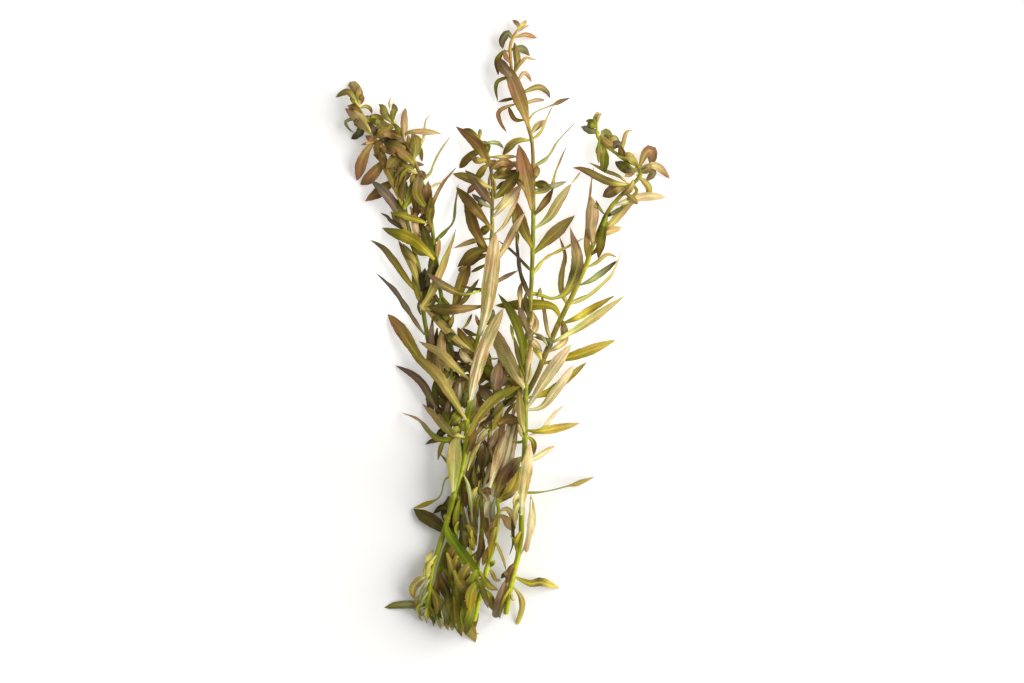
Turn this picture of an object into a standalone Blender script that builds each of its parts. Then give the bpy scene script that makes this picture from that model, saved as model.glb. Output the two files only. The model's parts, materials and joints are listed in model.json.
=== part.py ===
"""A bunch of cut ludwigia stems, lying flat as it was laid down and looked at from above.

Lengths in the tables are millimetres on a plan of the bunch: X to the right, Y towards the
tips, Z up from the surface that it lies on. The stems are laid one after another. Each stem
and each leaf rests on whatever lies under it already, a little clear of it.
"""

import math

import bmesh
import bpy
import numpy as np

MM = 0.001
OBJECT_NAME = "ludwigia_bunch"

# The middle of the bunch's outline on the plan, which becomes the part's origin.
PLAN_CENTRE = (0.6, -0.36)

STEM_RADIUS = 1.15
STEM_TIP_RADIUS = 0.6
STEM_STEP = 9.0
STEM_CORRIDOR = 2.8
# How many stations each way a stem bends over when something lifts it.
STEM_STIFFNESS = 1.6
STEM_ROUGHNESS = 0.45
LEAF_ROUGHNESS = 0.5

# How thick a leaf is at its midrib, which stands out below, as a share of its width.
LEAF_THICKNESS = 0.17
# A blade that looks narrower than this share of its length is turned partly on edge.
LEAF_SLENDERNESS = 0.095
LEAF_ARCH = 0.05
# How far a leaf sags from its foot to its tip, as shares of the foot's height, taken in turn.
LEAF_SAGS = (1.1, 0.6, 0.9)

# Places along a leaf, from its foot to its tip, and the share of its full width at each.
SINGLE_LEAF = ((0.0, 0.3), (0.12, 0.3), (0.3, 0.84), (0.5, 1.0), (0.76, 0.72), (1.0, 0.03))
LONG_LEAF = ((0.0, 0.3), (0.28, 0.84), (0.5, 1.0), (0.76, 0.72), (1.0, 0.03))
SHORT_LEAF = ((0.0, 0.34), (0.3, 0.84), (0.64, 0.9), (1.0, 0.03))

CLEARANCE = 0.36
FOOT_REACH = 3.0
FOOT_SHARE = 0.4
# Steps of the smooth line between two points of a table, and close places on a run of a piece.
CURVE_STEPS = 24
ALONG_RUN = 14
ACROSS_RUN = 11
CELL = 0.4
PLAN_REACH = (90.0, 150.0)
SETTLING_ROUNDS = 400
LOWERING_ROUNDS = 4
SETTLED = 0.004
# The least share of a place's height that counts as a station's own.
OWN_SHARE = 0.02
WELD = 0.001

TONES = {
    "pale": (0.60, 0.49, 0.26),
    "khaki": (0.40, 0.31, 0.11),
    "olive": (0.20, 0.15, 0.03),
    "mustard": (0.37, 0.28, 0.02),
    "copper": (0.33, 0.17, 0.07),
    "pink": (0.52, 0.33, 0.20),
    "purple": (0.16, 0.09, 0.06),
    "dark": (0.05, 0.04, 0.01),
    "green": (0.12, 0.20, 0.01),
    "grey": (0.18, 0.19, 0.10),
    "stem": (0.28, 0.35, 0.01),
}

# Each stem runs from its cut end to its tip. Its heights are those of its two ends above the
# surface where nothing lifts it.
STEMS = {
    "left": {
        "node": "stem_left",
        "heights": (1.2, 5.0),
        "line": ((-27.8, -121.5), (-27.2, -112), (-26.4, -103), (-24, -94), (-21, -86), (-19.8, -77),
                 (-19.4, -68), (-19.6, -58), (-20.6, -50), (-21.8, -44), (-23.2, -36), (-24.6, -29),
                 (-26.4, -21.5), (-29.6, -11), (-31.3, -2), (-33.2, 10), (-34.6, 25), (-37, 34),
                 (-39.3, 44), (-41.4, 52.7), (-43, 62), (-49.4, 72.5), (-53.7, 81), (-60.3, 94.5)),
    },
    "back": {
        "node": "stem_back",
        "heights": (1.2, 5.0),
        "line": ((-21.5, -124), (-20.4, -114), (-19, -104), (-17.5, -94), (-16.5, -84), (-16.8, -74),
                 (-17, -66), (-16.8, -60), (-17, -52), (-18, -44), (-18.8, -36), (-20, -28), (-21, -21),
                 (-22.4, -10), (-24, 2), (-25, 12.4), (-26, 18.3), (-27.2, 27.3), (-28.6, 38.2),
                 (-30.2, 48.9), (-33.4, 62.4), (-36.6, 70.9), (-39.8, 76.8), (-44.1, 85.3), (-47, 89)),
    },
    "middle": {
        "node": "stem_middle",
        "heights": (1.2, 4.0),
        "line": ((-15, -124), (-12.6, -112), (-11, -104), (-9.8, -96), (-8.6, -88), (-8, -80),
                 (-8.6, -72), (-9.4, -65), (-8.2, -58), (-6.2, -51), (-5, -44), (-4.6, -37),
                 (-3.8, -31), (-2.6, -25), (-1.8, -21)),
    },
    "short": {
        "node": "stem_short",
        "heights": (1.2, 4.0),
        "line": ((-11.6, -122), (-9.8, -114), (-7.8, -107), (-5.8, -99), (-3.4, -91), (-1.9, -83),
                 (-1.2, -76), (-2.4, -70)),
    },
    "shoot": {
        "node": "side_shoot",
        "heights": (2.6, 6.0),
        "line": ((10.3, -27.4), (12.2, -24), (15.2, -18), (17.4, -12.5), (19.3, -8), (23.1, 1), (26.8, 8.5),
                 (29.4, 13.7), (35.8, 28), (38, 34.7), (43.3, 47), (45.9, 51.6), (49.7, 56.1),
                 (54.8, 61.2), (58.2, 65), (57.5, 69), (52.3, 71.5), (47.8, 74.8), (42.6, 78.6),
                 (40.3, 82), (40.2, 86.3)),
    },
    "tall": {
        "node": "stem_tall",
        "heights": (1.2, 5.0),
        "line": ((1.8, -119.5), (3, -112), (4.2, -106), (5.4, -101), (7.2, -94), (8.3, -86),
                 (8.5, -77), (9.7, -50), (10, -40), (10.2, -18), (10.3, -6.5), (11.5, 4), (12.4, 16),
                 (12.9, 27.3), (13.3, 41.8), (13.4, 54.8), (13.4, 67.7), (12.7, 80), (10.5, 88),
                 (8.2, 95), (6.2, 102), (4.6, 108), (3.9, 113), (3.6, 119), (4.6, 122.5), (7, 127)),
    },
    "front": {
        "node": "stem_front",
        "heights": (1.2, 5.0),
        "line": ((-31.3, -121), (-30.6, -112), (-29.5, -102.3), (-27.6, -95.9), (-25.7, -89.5),
                 (-23.7, -83), (-21.8, -76.6), (-20.2, -69.5), (-18.3, -63.6), (-16, -56), (-15, -47.7),
                 (-14.1, -31.3), (-12.9, -23), (-11.8, -14), (-10.7, -6.5), (-8.4, 4), (-6.9, 13.7),
                 (-5.4, 27.3), (-4, 41.5), (-4, 49.4), (-3.9, 63.1), (-5.9, 74), (-9, 80.5)),
    },
}

# Leaves that are fused to their stem: the width seen from above, and the midrib from foot to tip.
FUSED_LEAVES = {
    "left": (
        (4.6, (-44.5, 64), (-47.5, 61), (-51.5, 57.8), (-57.5, 54.3)),
        (5.0, (-49, 72), (-53, 68), (-56, 65), (-59.6, 62)),
        (3.0, (-60, 94), (-61, 99), (-62, 102), (-63.8, 104.6)),
        (2.6, (-60, 94), (-60.3, 99), (-59.8, 103)),
        (1.9, (-60, 94), (-64, 99.8), (-66.5, 100), (-69.8, 98.2)),
        (1.8, (-59.8, 93.4), (-57.3, 94.2), (-55.3, 93.3), (-54.5, 91.3)),
        (1.4, (-58, 90), (-65.3, 88), (-64.2, 84.8), (-62, 83.2)),
        (2.6, (-55, 84), (-58.5, 86), (-60, 83), (-62.5, 81.5)),
        (2.8, (-57.5, 88.5), (-54.5, 89.8), (-51.5, 89.3), (-49.5, 87.6)),
        (2.4, (-52, 78), (-55, 80.5), (-57.5, 82)),
        (3.0, (-43.2, 62.3), (-41.8, 65.5), (-39, 68), (-36, 70), (-32.3, 69.6)),
        (3.0, (-33.8, 15.8), (-37.5, 27), (-41, 33.5), (-43.5, 38)),
        (2.6, (-34, 17.5), (-33.6, 22), (-32.5, 26.3)),
        (1.8, (-41, 41), (-46.3, 46), (-48, 47.9), (-51, 49.5)),
        (3.4, (-23, -38), (-23.5, -33), (-26.5, -28)),
        (1.8, (-21, -46.5), (-25, -47.7), (-26.9, -54.7)),
        (2.2, (-21.5, -45), (-28.9, -46.4), (-32.2, -48.2)),
        (2.4, (-20, -78), (-24, -74.5), (-29, -77.2)),
        (2.6, (-23, -92), (-20.5, -97), (-20, -101), (-20.3, -105)),
        (3.4, (-26.5, -103), (-24, -109), (-22, -114.5)),
        (3.4, (-27.6, -118), (-35, -115.6), (-43, -115.5), (-49.4, -116.9)),
        (2.6, (-26, -101), (-28.2, -109), (-31.5, -118), (-34.2, -120.6)),
        (4.4, (-53, 80), (-56.5, 75.5), (-58.8, 70.5), (-60.6, 63)),
    ),
    "back": (
        (3.4, (-46, 87), (-49, 91), (-50, 94), (-51.8, 95.2)),
        (2.8, (-46, 87), (-45.5, 91), (-44.8, 93), (-45.7, 95.8)),
        (2.8, (-40.8, 79.4), (-41, 84), (-41, 88), (-40.3, 92), (-39, 95.8)),
        (1.4, (-37.6, 73), (-33, 80), (-32, 88), (-30, 90.7)),
        (4.4, (-37, 72), (-37.5, 76), (-38, 80), (-39, 83.3)),
        (3.6, (-40.5, 78.6), (-43, 80), (-47, 82), (-51, 83)),
        (5.0, (-39, 75.5), (-45, 77), (-50, 79.5)),
        (3.2, (-34.6, 65.5), (-39, 68), (-43, 71.5), (-46, 74.5)),
        (4.0, (-30, 47), (-32.5, 52), (-31.3, 57), (-30.8, 63)),
        (3.0, (-28.6, 37), (-35.4, 41), (-36.6, 46), (-35.4, 52.6)),
        (4.0, (-29.2, 42), (-29, 47), (-28.5, 52), (-28.6, 57)),
        (1.4, (-30.4, 50), (-27, 58), (-24.5, 62.5), (-19, 68.7)),
        (1.6, (-33, 63), (-30, 66), (-28.5, 70), (-26, 75), (-21.5, 81.8)),
        (1.4, (-28.4, 36.8), (-23, 42.5), (-20.5, 46), (-19.4, 54), (-18.2, 61.5)),
        (2.2, (-27.3, 28.5), (-27, 33), (-26, 39.5)),
        (4.0, (-27.8, 30.5), (-30.5, 35), (-32, 40.5), (-33.3, 45)),
        (4.0, (-24.9, 11), (-24, 7.5), (-21.5, 3.5)),
        (4.2, (-24.6, 8), (-20, 10), (-18, 17), (-16, 23), (-13.5, 30)),
        (1.8, (-24.4, 7), (-16.5, 12), (-13.5, 16), (-9.3, 21.9)),
        (3.0, (-21, -18), (-20.5, -13), (-18, -8.7)),
        (4.0, (-21.6, -17), (-21.8, -9), (-23, -3)),
        (2.2, (-20.3, -29), (-21.5, -25), (-19.5, -18.5)),
        (3.6, (-18.6, -36), (-18.5, -27), (-16, -17)),
        (3.0, (-16.9, -60), (-14.4, -66), (-14.2, -72)),
        (3.4, (-16.5, -80), (-14.8, -87), (-12, -93)),
        (2.6, (-18, -98), (-17.6, -104), (-16.2, -110)),
        (3.0, (-20, -112), (-22.6, -118), (-24.6, -124.6)),
        (2.2, (-41.4, 81), (-38.5, 83.5), (-30, 83.6), (-25, 82.7)),
    ),
    "middle": (
        (4.0, (-2.4, -24), (-5, -18), (-6.5, -14)),
        (5.0, (-3.8, -31), (-6, -27), (-9.5, -23)),
        (3.0, (-4.7, -38), (-1, -32.5), (4.8, -28.5)),
        (2.4, (-5, -43), (-8, -38.5), (-11.5, -34)),
        (2.0, (-8.4, -59), (-11, -50.5), (-8, -46), (-5, -42.8)),
        (2.6, (-8.8, -61), (-11.5, -55), (-12.5, -48)),
        (2.4, (-9.2, -67), (-6, -72), (-5.4, -79)),
        (2.6, (-8.4, -74), (-6.8, -81), (-6, -88)),
        (3.0, (-8.2, -84), (-8.6, -92), (-11.5, -99)),
        (1.4, (-10.4, -100), (-13, -93), (-12.5, -87)),
        (2.4, (-12.8, -113), (-10.6, -119), (-12, -126), (-9.3, -128.2)),
        (4.2, (-2.6, -27), (0, -20), (-.5, -15), (-1.5, -12)),
    ),
    "short": (
        (2.6, (-2.6, -88), (.5, -96), (2, -101.4)),
        (1.8, (-6.4, -101.5), (-4.4, -101), (-2.6, -104.6), (0, -105.6)),
        (1.8, (-6, -100), (-2.7, -96.7)),
        (3.4, (-8, -108), (-5, -112), (-3.6, -118)),
        (2.2, (-1.8, -73), (3, -69.5), (7, -66)),
        (3.0, (-1.4, -77), (1.8, -75), (4.4, -78), (4.6, -84)),
        (3.8, (-.9, -77.6), (1.2, -79), (4.9, -84.5)),
    ),
    "shoot": (
        (2.0, (27.5, 10.6), (25.2, 18), (25.7, 25), (26.8, 31.5), (24.3, 39.8)),
        (1.8, (20.8, -4), (19.2, 1), (17.5, 12), (16.2, 18.3)),
        (3.0, (17, -13), (15, -8), (13, -3.6)),
        (2.0, (18.4, -10), (21, -5.5), (19, -4), (12.8, -2.6)),
        (3.4, (18.6, -9.6), (26, -5), (26.2, 1), (25.6, 4.5)),
        (1.8, (34.8, 26), (40, 28.5), (44, 31), (48.8, 30)),
        (2.6, (31.6, 18.6), (37, 20.8), (41, 23.5), (49.2, 29.7)),
        (1.6, (27.8, 11), (36.5, 14.8), (44, 21.3), (47, 25), (50.8, 34)),
        (3.4, (36.8, 31), (41.5, 36), (42.3, 42), (43.2, 49.5)),
        (1.4, (36, 29), (34.5, 45), (37, 60), (38.6, 68.5)),
        (3.4, (38.6, 36), (42, 41), (46.5, 42), (50.8, 43.3)),
        (3.4, (40.4, 40), (47, 45.5), (54, 53.5), (58, 55)),
        (2.0, (43.4, 47.4), (48, 50), (51.5, 52)),
        (4.0, (53, 60), (49, 60), (46, 58), (42.8, 56.3)),
        (1.6, (54.2, 61), (49, 65), (44, 67), (36.6, 70.8)),
        (4.4, (57.6, 67), (53, 67.5), (47.8, 71)),
        (4.0, (43.4, 78), (43, 73), (43, 69), (43.3, 66.2)),
        (3.2, (40.2, 82.6), (37.4, 84.2), (33.5, 85.8)),
        (1.8, (40.2, 86), (38, 88), (35.4, 88.2)),
        (2.0, (40.2, 86), (39.3, 89), (41, 92.4)),
        (3.2, (46, 76), (48.2, 79.4), (50.8, 82.6)),
        (1.8, (50, 73), (51.3, 80), (55.5, 84.5)),
        (4.0, (57.6, 68), (60.5, 74), (63, 75.5), (63.3, 68.5)),
        (2.4, (58, 65), (61.6, 64.6), (63.6, 62)),
        (2.8, (57.8, 65), (61.8, 60), (60.5, 55)),
        (3.0, (25, 1.6), (32, 4.6), (38, 8), (48.3, 14.6)),
        (3.2, (58, 68.6), (65, 69), (71, 64)),
    ),
    "tall": (
        (1.8, (7, 127), (6.8, 128.8), (4.6, 130.8)),
        (1.8, (7, 127), (8.8, 128.4), (10.6, 130.6)),
        (2.0, (5, 123.2), (10, 124.4), (15, 123.2)),
        (3.6, (4.3, 122.4), (2.6, 125.2), (.1, 122), (.5, 118.5)),
        (3.2, (3.7, 118), (6, 118.6), (9, 118.6), (12, 115.6)),
        (3.0, (4.8, 107), (6.5, 112), (6, 117), (5.4, 121.3)),
        (1.4, (4.6, 108), (8.5, 112.8), (10.5, 114.6), (15.3, 113.7)),
        (2.4, (3.6, 117.6), (.6, 117.2), (-1.8, 113.5), (-1.4, 107.4)),
        (1.8, (6, 103), (9, 108.2), (11, 107.4), (12.7, 104.6)),
        (1.8, (8.2, 94.8), (12, 96.2), (15, 97), (18.3, 97)),
        (1.4, (7.5, 98), (2, 97), (-1.6, 96.2)),
        (1.6, (5, 107), (-1, 105.3), (-2.5, 102), (-1.6, 96.3)),
        (1.8, (10.4, 88.6), (5.5, 88.9), (2.6, 95)),
        (1.8, (8, 96), (-.6, 92.5), (-.6, 88), (2.3, 83.3)),
        (2.6, (12.4, 82), (15, 85.8), (19, 88.8)),
        (1.6, (10.8, 87), (14, 91.6), (21.5, 94.8), (28.8, 97.9)),
        (1.4, (12.7, 80), (16.5, 83.6), (20, 91.5), (21.5, 94.3)),
        (3.2, (12.6, 80), (6, 79.3), (.3, 73.5)),
        (1.6, (13.4, 69), (19, 72.5), (24, 80), (30.8, 87.3)),
        (1.8, (13.4, 57.5), (20.5, 60), (23.3, 68), (27.3, 77.4)),
        (2.4, (13.4, 59), (21, 60.5), (27.7, 62.8)),
        (3.0, (13.4, 48), (18.5, 54.5), (22, 60)),
        (4.6, (13.2, 34), (11.5, 38), (9, 44), (6.3, 54.7)),
        (1.6, (12.8, 23), (18.5, 30.3), (27.5, 35), (34.5, 38.8)),
        (2.8, (10.2, -14), (12.3, -4), (8.3, 7), (7.9, 19.7)),
        (1.8, (12.2, 13), (8.3, 23.5), (6.8, 34), (5.7, 43)),
        (1.4, (12.8, 24.6), (5, 33), (-1.3, 37.8)),
        (2.2, (10.2, -24), (12.3, -10), (12.7, -4)),
        (2.8, (10.6, -4), (14.6, 1.5), (13.4, 8)),
        (1.6, (10, -45), (16.5, -42), (22, -35.7), (26.5, -31.3)),
        (3.6, (9.8, -44), (8.3, -38), (7, -23.5)),
        (2.2, (9.9, -44), (13.4, -47), (13.6, -53)),
        (2.2, (9.5, -54), (14, -53.8), (22.6, -48.6)),
        (1.6, (8.6, -70), (5.2, -79.8), (4.8, -89.5), (3.3, -94.6)),
        (2.4, (8.6, -69), (6, -74), (6.6, -80)),
        (2.8, (4, -107), (7.8, -112), (8.4, -117), (6.4, -124)),
        (1.4, (3.6, -109), (4.6, -113), (6, -113.4)),
        (1.8, (11.3, -68.4), (18.7, -67.6), (30.9, -64.4), (38.9, -61.8)),
        (2.6, (8.8, 99.6), (14.8, 101.8), (20.6, 97.8)),
    ),
    "front": (
        (3.0, (-5.6, 24), (1.5, 35), (6.5, 44.5), (10, 50)),
        (1.8, (-4.2, 39.5), (1.5, 45), (7.8, 58)),
        (3.4, (-4, 47), (2, 53.5), (9, 61.5)),
        (2.0, (-4, 58), (1, 62), (3.6, 59)),
        (3.6, (-5.2, 71), (-3, 70.3), (-1, 67.5)),
        (3.4, (-4, 64), (1, 67.8), (6, 69.8)),
        (1.8, (-5.6, 73), (-1, 72.8), (7.3, 73.2)),
        (2.4, (-8.6, 79.6), (-6.5, 78.3), (-5.4, 74.5)),
        (1.8, (-8, 79), (-2, 79.4), (1, 77)),
        (1.8, (-9, 80.5), (-9, 85)),
        (2.8, (-9, 80.5), (-13, 83.5), (-16.8, 84.8)),
        (4.2, (-6.8, 75.6), (-12, 74), (-17.8, 68.3)),
        (3.2, (-5, 70), (-7.5, 68), (-11, 62.5)),
        (3.6, (-4, 51.8), (-8.5, 60), (-15.4, 67.5)),
        (3.2, (-4, 51.5), (-7.5, 53.3), (-12.6, 57.6)),
        (3.2, (-3.9, 44.6), (-7, 42), (-8.8, 39.6)),
        (2.0, (-4.3, 38.5), (-10, 38), (-20.5, 34.5)),
        (4.6, (-4.8, 33.6), (-10, 33), (-18.7, 26.6)),
        (1.8, (-6.4, 18), (2, 22.8), (7.2, 25.3)),
        (3.6, (-7.5, 10), (-18, 8.5), (-24, 8.7), (-31.5, 10)),
        (2.4, (-9.4, 1), (-10.8, 6.8)),
        (2.0, (-10, -2), (-13, -1.5), (-17, 1)),
        (2.6, (-9, 2), (-4.5, 4), (-3.3, 9)),
        (2.2, (-11, -9), (-15.5, -4), (-18.5, 1.3)),
        (2.6, (-14.3, -39), (-12.5, -32), (-10.6, -28)),
        (1.8, (-17.4, -60.6), (-23.5, -62.5), (-26.5, -70.5), (-37, -75)),
        (1.4, (-16.4, -57.5), (-21.5, -56.2), (-26, -51.8)),
        (3.6, (-29.6, -102), (-34.6, -105.2), (-37.4, -109), (-36.9, -113.2)),
        (2.0, (-30.2, -103.5), (-31, -97), (-28.6, -92.4)),
        (2.0, (-30.8, -114), (-35, -112.6), (-36.4, -118)),
        (2.4, (-22.6, -79), (-24.6, -78.2)),
        (1.9, (-15.4, -45.2), (-24.5, -46), (-29.4, -43.4), (-34.7, -37.6), (-42, -34.7)),
        (3.0, (-7, 17.6), (-17, 15.2), (-23, 18.2), (-31.3, 24)),
        (4.0, (-4.4, 59.6), (-14, 64), (-20.6, 66)),
        (4.4, (-5.4, 32.4), (-10.5, 41), (-13, 48), (-15.8, 54.8)),
    ),
}

# Leaves that are pieces of their own, in the same form, laid over their stem once it lies.
# The first value is the leaf's colour.
SINGLE_LEAVES = {
    "left": (
        ("purple", 5.6, (-23.5, -84.5), (-28.5, -81), (-33, -78.4), (-37.2, -75.2)),
        ("purple", 3.8, (-26.4, -33.6), (-29.6, -29), (-33.2, -22.6), (-38.4, -17.8), (-45.4, -14.3)),
        ("copper", 5.0, (-30.8, -14.2), (-35, -11), (-39, -5.5), (-43, .5), (-48, 7)),
        ("grey", 2.2, (-32.6, -1.5), (-37, 5), (-44.5, 16.3), (-49, 20.7), (-53.2, 24.4)),
        ("copper", 2.8, (-34.6, 15.2), (-38.5, 19.5), (-46, 30), (-50, 34.7), (-55.6, 38.3)),
        ("purple", 4.0, (-40.2, 42), (-45, 52), (-49.5, 58), (-55, 63)),
        ("khaki", 4.2, (-41.6, 51.8), (-43.3, 57), (-46.2, 65), (-49.5, 71.5), (-54.3, 74.2)),
        ("copper", 4.4, (-53.6, 81), (-56, 85), (-59.5, 89), (-66, 93.6)),
    ),
    "back": (
        ("olive", 4.0, (-31, 50.8), (-34.8, 55.4), (-35.8, 60), (-33.6, 67.8)),
        ("copper", 3.0, (-33.4, 9), (-29.5, 16), (-24.5, 28), (-20.5, 38.5), (-19.3, 42.7)),
        ("mustard", 4.2, (-27.4, 28.8), (-34.5, 36), (-40, 39), (-45, 40.7), (-50.5, 43)),
        ("mustard", 2.8, (-29.8, 44.6), (-38, 47.3), (-42.5, 48.8), (-46.8, 49.2)),
        ("pale", 3.4, (-21.2, -20), (-24.7, -11), (-25.4, -5), (-25.2, 1.3)),
        ("olive", 6.0, (-19.4, -106), (-17.8, -116), (-15, -124), (-10.9, -131.5)),
    ),
    "middle": (
        ("khaki", 3.8, (-9, -63), (-12.6, -71), (-12, -80), (-10.3, -87)),
        ("pink", 3.6, (-8, -66), (-6, -61), (-1.5, -47), (1.6, -37)),
    ),
    "short": (
        ("copper", 4.0, (-3.4, -67.4), (1.5, -55), (4.5, -42), (5, -36.4)),
        ("mustard", 5.0, (-1, -72), (4, -66.6), (8, -57.3)),
        ("purple", 5.0, (-2.6, -69.4), (1, -63), (4.5, -58), (8.4, -53)),
    ),
    "shoot": (
        ("mustard", 4.4, (25.4, 4), (21, 10.3), (8, 10.8), (-2.9, 10.4)),
        ("pale", 3.4, (21.8, -5), (32, 2), (40, 7.3), (52.3, 14.7)),
        ("mustard", 3.6, (17.6, -14), (26, -12), (36, -9), (48.5, -3.9)),
        ("copper", 5.0, (38.6, 35.2), (37.5, 42), (37.8, 48), (37.9, 56.3)),
        ("copper", 2.8, (53.8, 61), (45, 62.5), (34, 67.8), (29.6, 68.5)),
        ("pale", 3.4, (47, 52.4), (54, 54.5), (60, 56), (69.8, 56.2)),
    ),
    "tall": (
        ("pale", 4.6, (8.2, -77), (9, -65.6), (11, -54), (11.9, -46.3)),
        ("olive", 4.6, (1.9, -105.8), (-.6, -113), (-2.9, -121)),
        ("mustard", 3.6, (6, -104), (12, -106.6), (17, -106.2), (24.5, -108.8)),
        ("pale", 3.6, (8.6, -93.6), (11.6, -86), (12.8, -78), (12.2, -68.8)),
        ("mustard", 3.2, (11, -42), (16, -42.3), (27, -40.3), (33.6, -38.9)),
        ("mustard", 3.4, (11, -28.4), (20, -26), (30, -18.5), (36.2, -13.2)),
        ("pale", 3.2, (10.8, -33.4), (17, -32), (23, -24), (30.8, -14.2)),
        ("pale", 4.2, (10.8, -32.4), (14.5, -27), (20.5, -16.5), (29.6, -5.6)),
        ("khaki", 4.6, (9.4, -23.6), (3, -12), (-2.5, -1), (-4.8, 3.5)),
        ("green", 5.2, (9.4, -14), (8.3, -4), (4.5, 6.5), (-1.8, 16)),
        ("olive", 4.4, (12.8, 15.6), (21, 12.8), (28, 16.5), (32.5, 30), (28.9, 43.4)),
        ("olive", 4.8, (14, 33), (20.5, 40), (26, 45.3), (31, 48.8)),
        ("khaki", 4.2, (14.2, 43), (20.5, 49), (26, 58), (33.5, 66.8)),
        ("copper", 4.6, (12.8, 51), (11.5, 58), (8.5, 72), (7, 78.5)),
        ("copper", 4.6, (11.4, 84.5), (7.5, 97), (3, 108), (-2, 113.8)),
    ),
    "front": (
        ("green", 5.6, (-23.4, -80), (-22, -86), (-16, -94.6), (-7.2, -104.6)),
        ("pale", 6.0, (-20.2, -69.4), (-20, -60), (-19.5, -50), (-17.8, -42.4)),
        ("khaki", 3.8, (-15.4, -45), (-21.4, -43), (-27.5, -36.5), (-33.6, -30.9)),
        ("khaki", 4.6, (-15, -37.2), (-22, -26.4), (-28, -18), (-38.5, -9.4)),
        ("khaki", 3.6, (-13, -21.4), (-20, -15), (-25.5, -9.7), (-35, -4.6)),
        ("khaki", 3.4, (-11.5, -9.3), (-18, -4.5), (-26.5, 4), (-32.3, 9)),
        ("olive", 4.6, (-14.6, -45.6), (-9.5, -36.5), (-2, -28.5), (8, -23.5)),
        ("pale", 4.2, (-13.4, -30), (-9.6, -14), (-5, -2), (1, 9.6)),
        ("mustard", 3.8, (-4.4, 43), (-11, 50.8), (-19.2, 60)),
        ("olive", 4.6, (-3.4, 55.5), (1, 59), (7.5, 67)),
        ("copper", 4.2, (-5.6, 69), (-11, 78), (-20, 86)),
        ("pale", 5.0, (-9.4, -1.4), (-6.3, 10), (-3.8, 26), (-2.4, 41.5)),
    ),
}


def clear_scene():
    """Empties the file that the script starts in."""
    for obj in list(bpy.data.objects):
        bpy.data.objects.remove(obj)


def new_collection(name, hidden=False):
    collection = bpy.data.collections.new(name)
    bpy.context.scene.collection.children.link(collection)
    collection.hide_render = hidden
    return collection


def new_material(name, tone, roughness):
    """A Principled material in one of the bunch's colours."""
    material = bpy.data.materials.new(name)
    material.use_nodes = True
    shader = material.node_tree.nodes["Principled BSDF"]
    shader.inputs["Base Color"].default_value = (*TONES[tone], 1.0)
    shader.inputs["Roughness"].default_value = roughness
    return material


def along(points, places):
    """Points on the smooth line through the given ones, at the given shares of its length."""
    knots = np.array(points, float)
    before = 2 * knots[0] - knots[1]
    after = 2 * knots[-1] - knots[-2]
    knots = np.vstack([before, knots, after])
    share = np.linspace(0, 1, CURVE_STEPS, endpoint=False)[:, None]
    runs = []
    for a, b, c, d in zip(knots, knots[1:], knots[2:], knots[3:]):
        turn = (2 * a - 5 * b + 4 * c - d) * share**2 + (3 * (b - c) + d - a) * share**3
        runs.append(b + ((c - a) * share + turn) / 2)
    line = np.vstack([*runs, knots[-2:-1]])
    lengths = np.concatenate([[0], np.cumsum(np.linalg.norm(np.diff(line, axis=0), axis=1))])
    wanted = np.array(places) * lengths[-1]
    return np.column_stack([np.interp(wanted, lengths, line[:, axis]) for axis in (0, 1)]), lengths[-1]


class Pile:
    """How high the pile stands over each small square of the plan."""

    def __init__(self):
        squares = [int(2 * reach / CELL) for reach in PLAN_REACH]
        self.top = np.zeros(squares)

    def squares(self, places):
        return tuple(((places[:, axis] + PLAN_REACH[axis]) / CELL).astype(int) for axis in (0, 1))

    def under(self, places):
        return self.top[self.squares(places)]

    def cover(self, places, heights):
        """Raises the squares under a piece to its top, and those next to them."""
        column, row = self.squares(places)
        for right in (-1, 0, 1):
            for up in (-1, 0, 1):
                np.maximum.at(self.top, (column + right, row + up), heights)


class Ribbon:
    """A strip of close places along and across a piece that runs straight between its stations."""

    def __init__(self, stations, half_widths, depths, roll=0.0):
        count = len(stations)
        spread = np.linspace(0, count - 1, ALONG_RUN * (count - 1) + 1)
        first = np.minimum(spread.astype(int), count - 2)
        share = spread - first
        self.weights = np.zeros((len(spread), count))
        self.weights[np.arange(len(spread)), first] = 1 - share
        self.weights[np.arange(len(spread)), first + 1] = share
        centres = self.weights @ stations
        ahead = np.gradient(centres, axis=0)
        ahead /= np.linalg.norm(ahead, axis=1)[:, None]
        side = np.column_stack([-ahead[:, 1], ahead[:, 0]])
        half = self.weights @ half_widths
        offset = np.linspace(-1, 1, ACROSS_RUN) * half[:, None]
        inward = offset[..., None] * math.cos(roll) * side[:, None, :]
        self.places = (centres[:, None, :] + inward).reshape(-1, 2)
        self.lean = offset * math.sin(roll)
        self.depth = self.weights @ depths

    def floor(self, pile):
        """The lowest height of the midline that keeps the strip clear of the pile."""
        under = pile.under(self.places).reshape(self.lean.shape)
        clear = np.where(under > 0, under + CLEARANCE, SETTLED)
        return (clear - self.lean).max(axis=1) + self.depth

    def cover(self, pile, heights):
        top = (self.weights @ heights + self.depth)[:, None] + self.lean
        pile.cover(self.places, top.reshape(-1))


def lifted(heights, weights, lift, floor):
    """Lifts the stations by the worst shortfall, again and again, until the strip clears its floor."""
    heights = heights.copy()
    for _ in range(SETTLING_ROUNDS):
        short = floor - weights @ heights
        worst = short.argmax()
        if short[worst] < SETTLED:
            break
        heights += lift[worst] * short[worst] / (lift[worst] @ weights[worst])
    return heights


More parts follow.
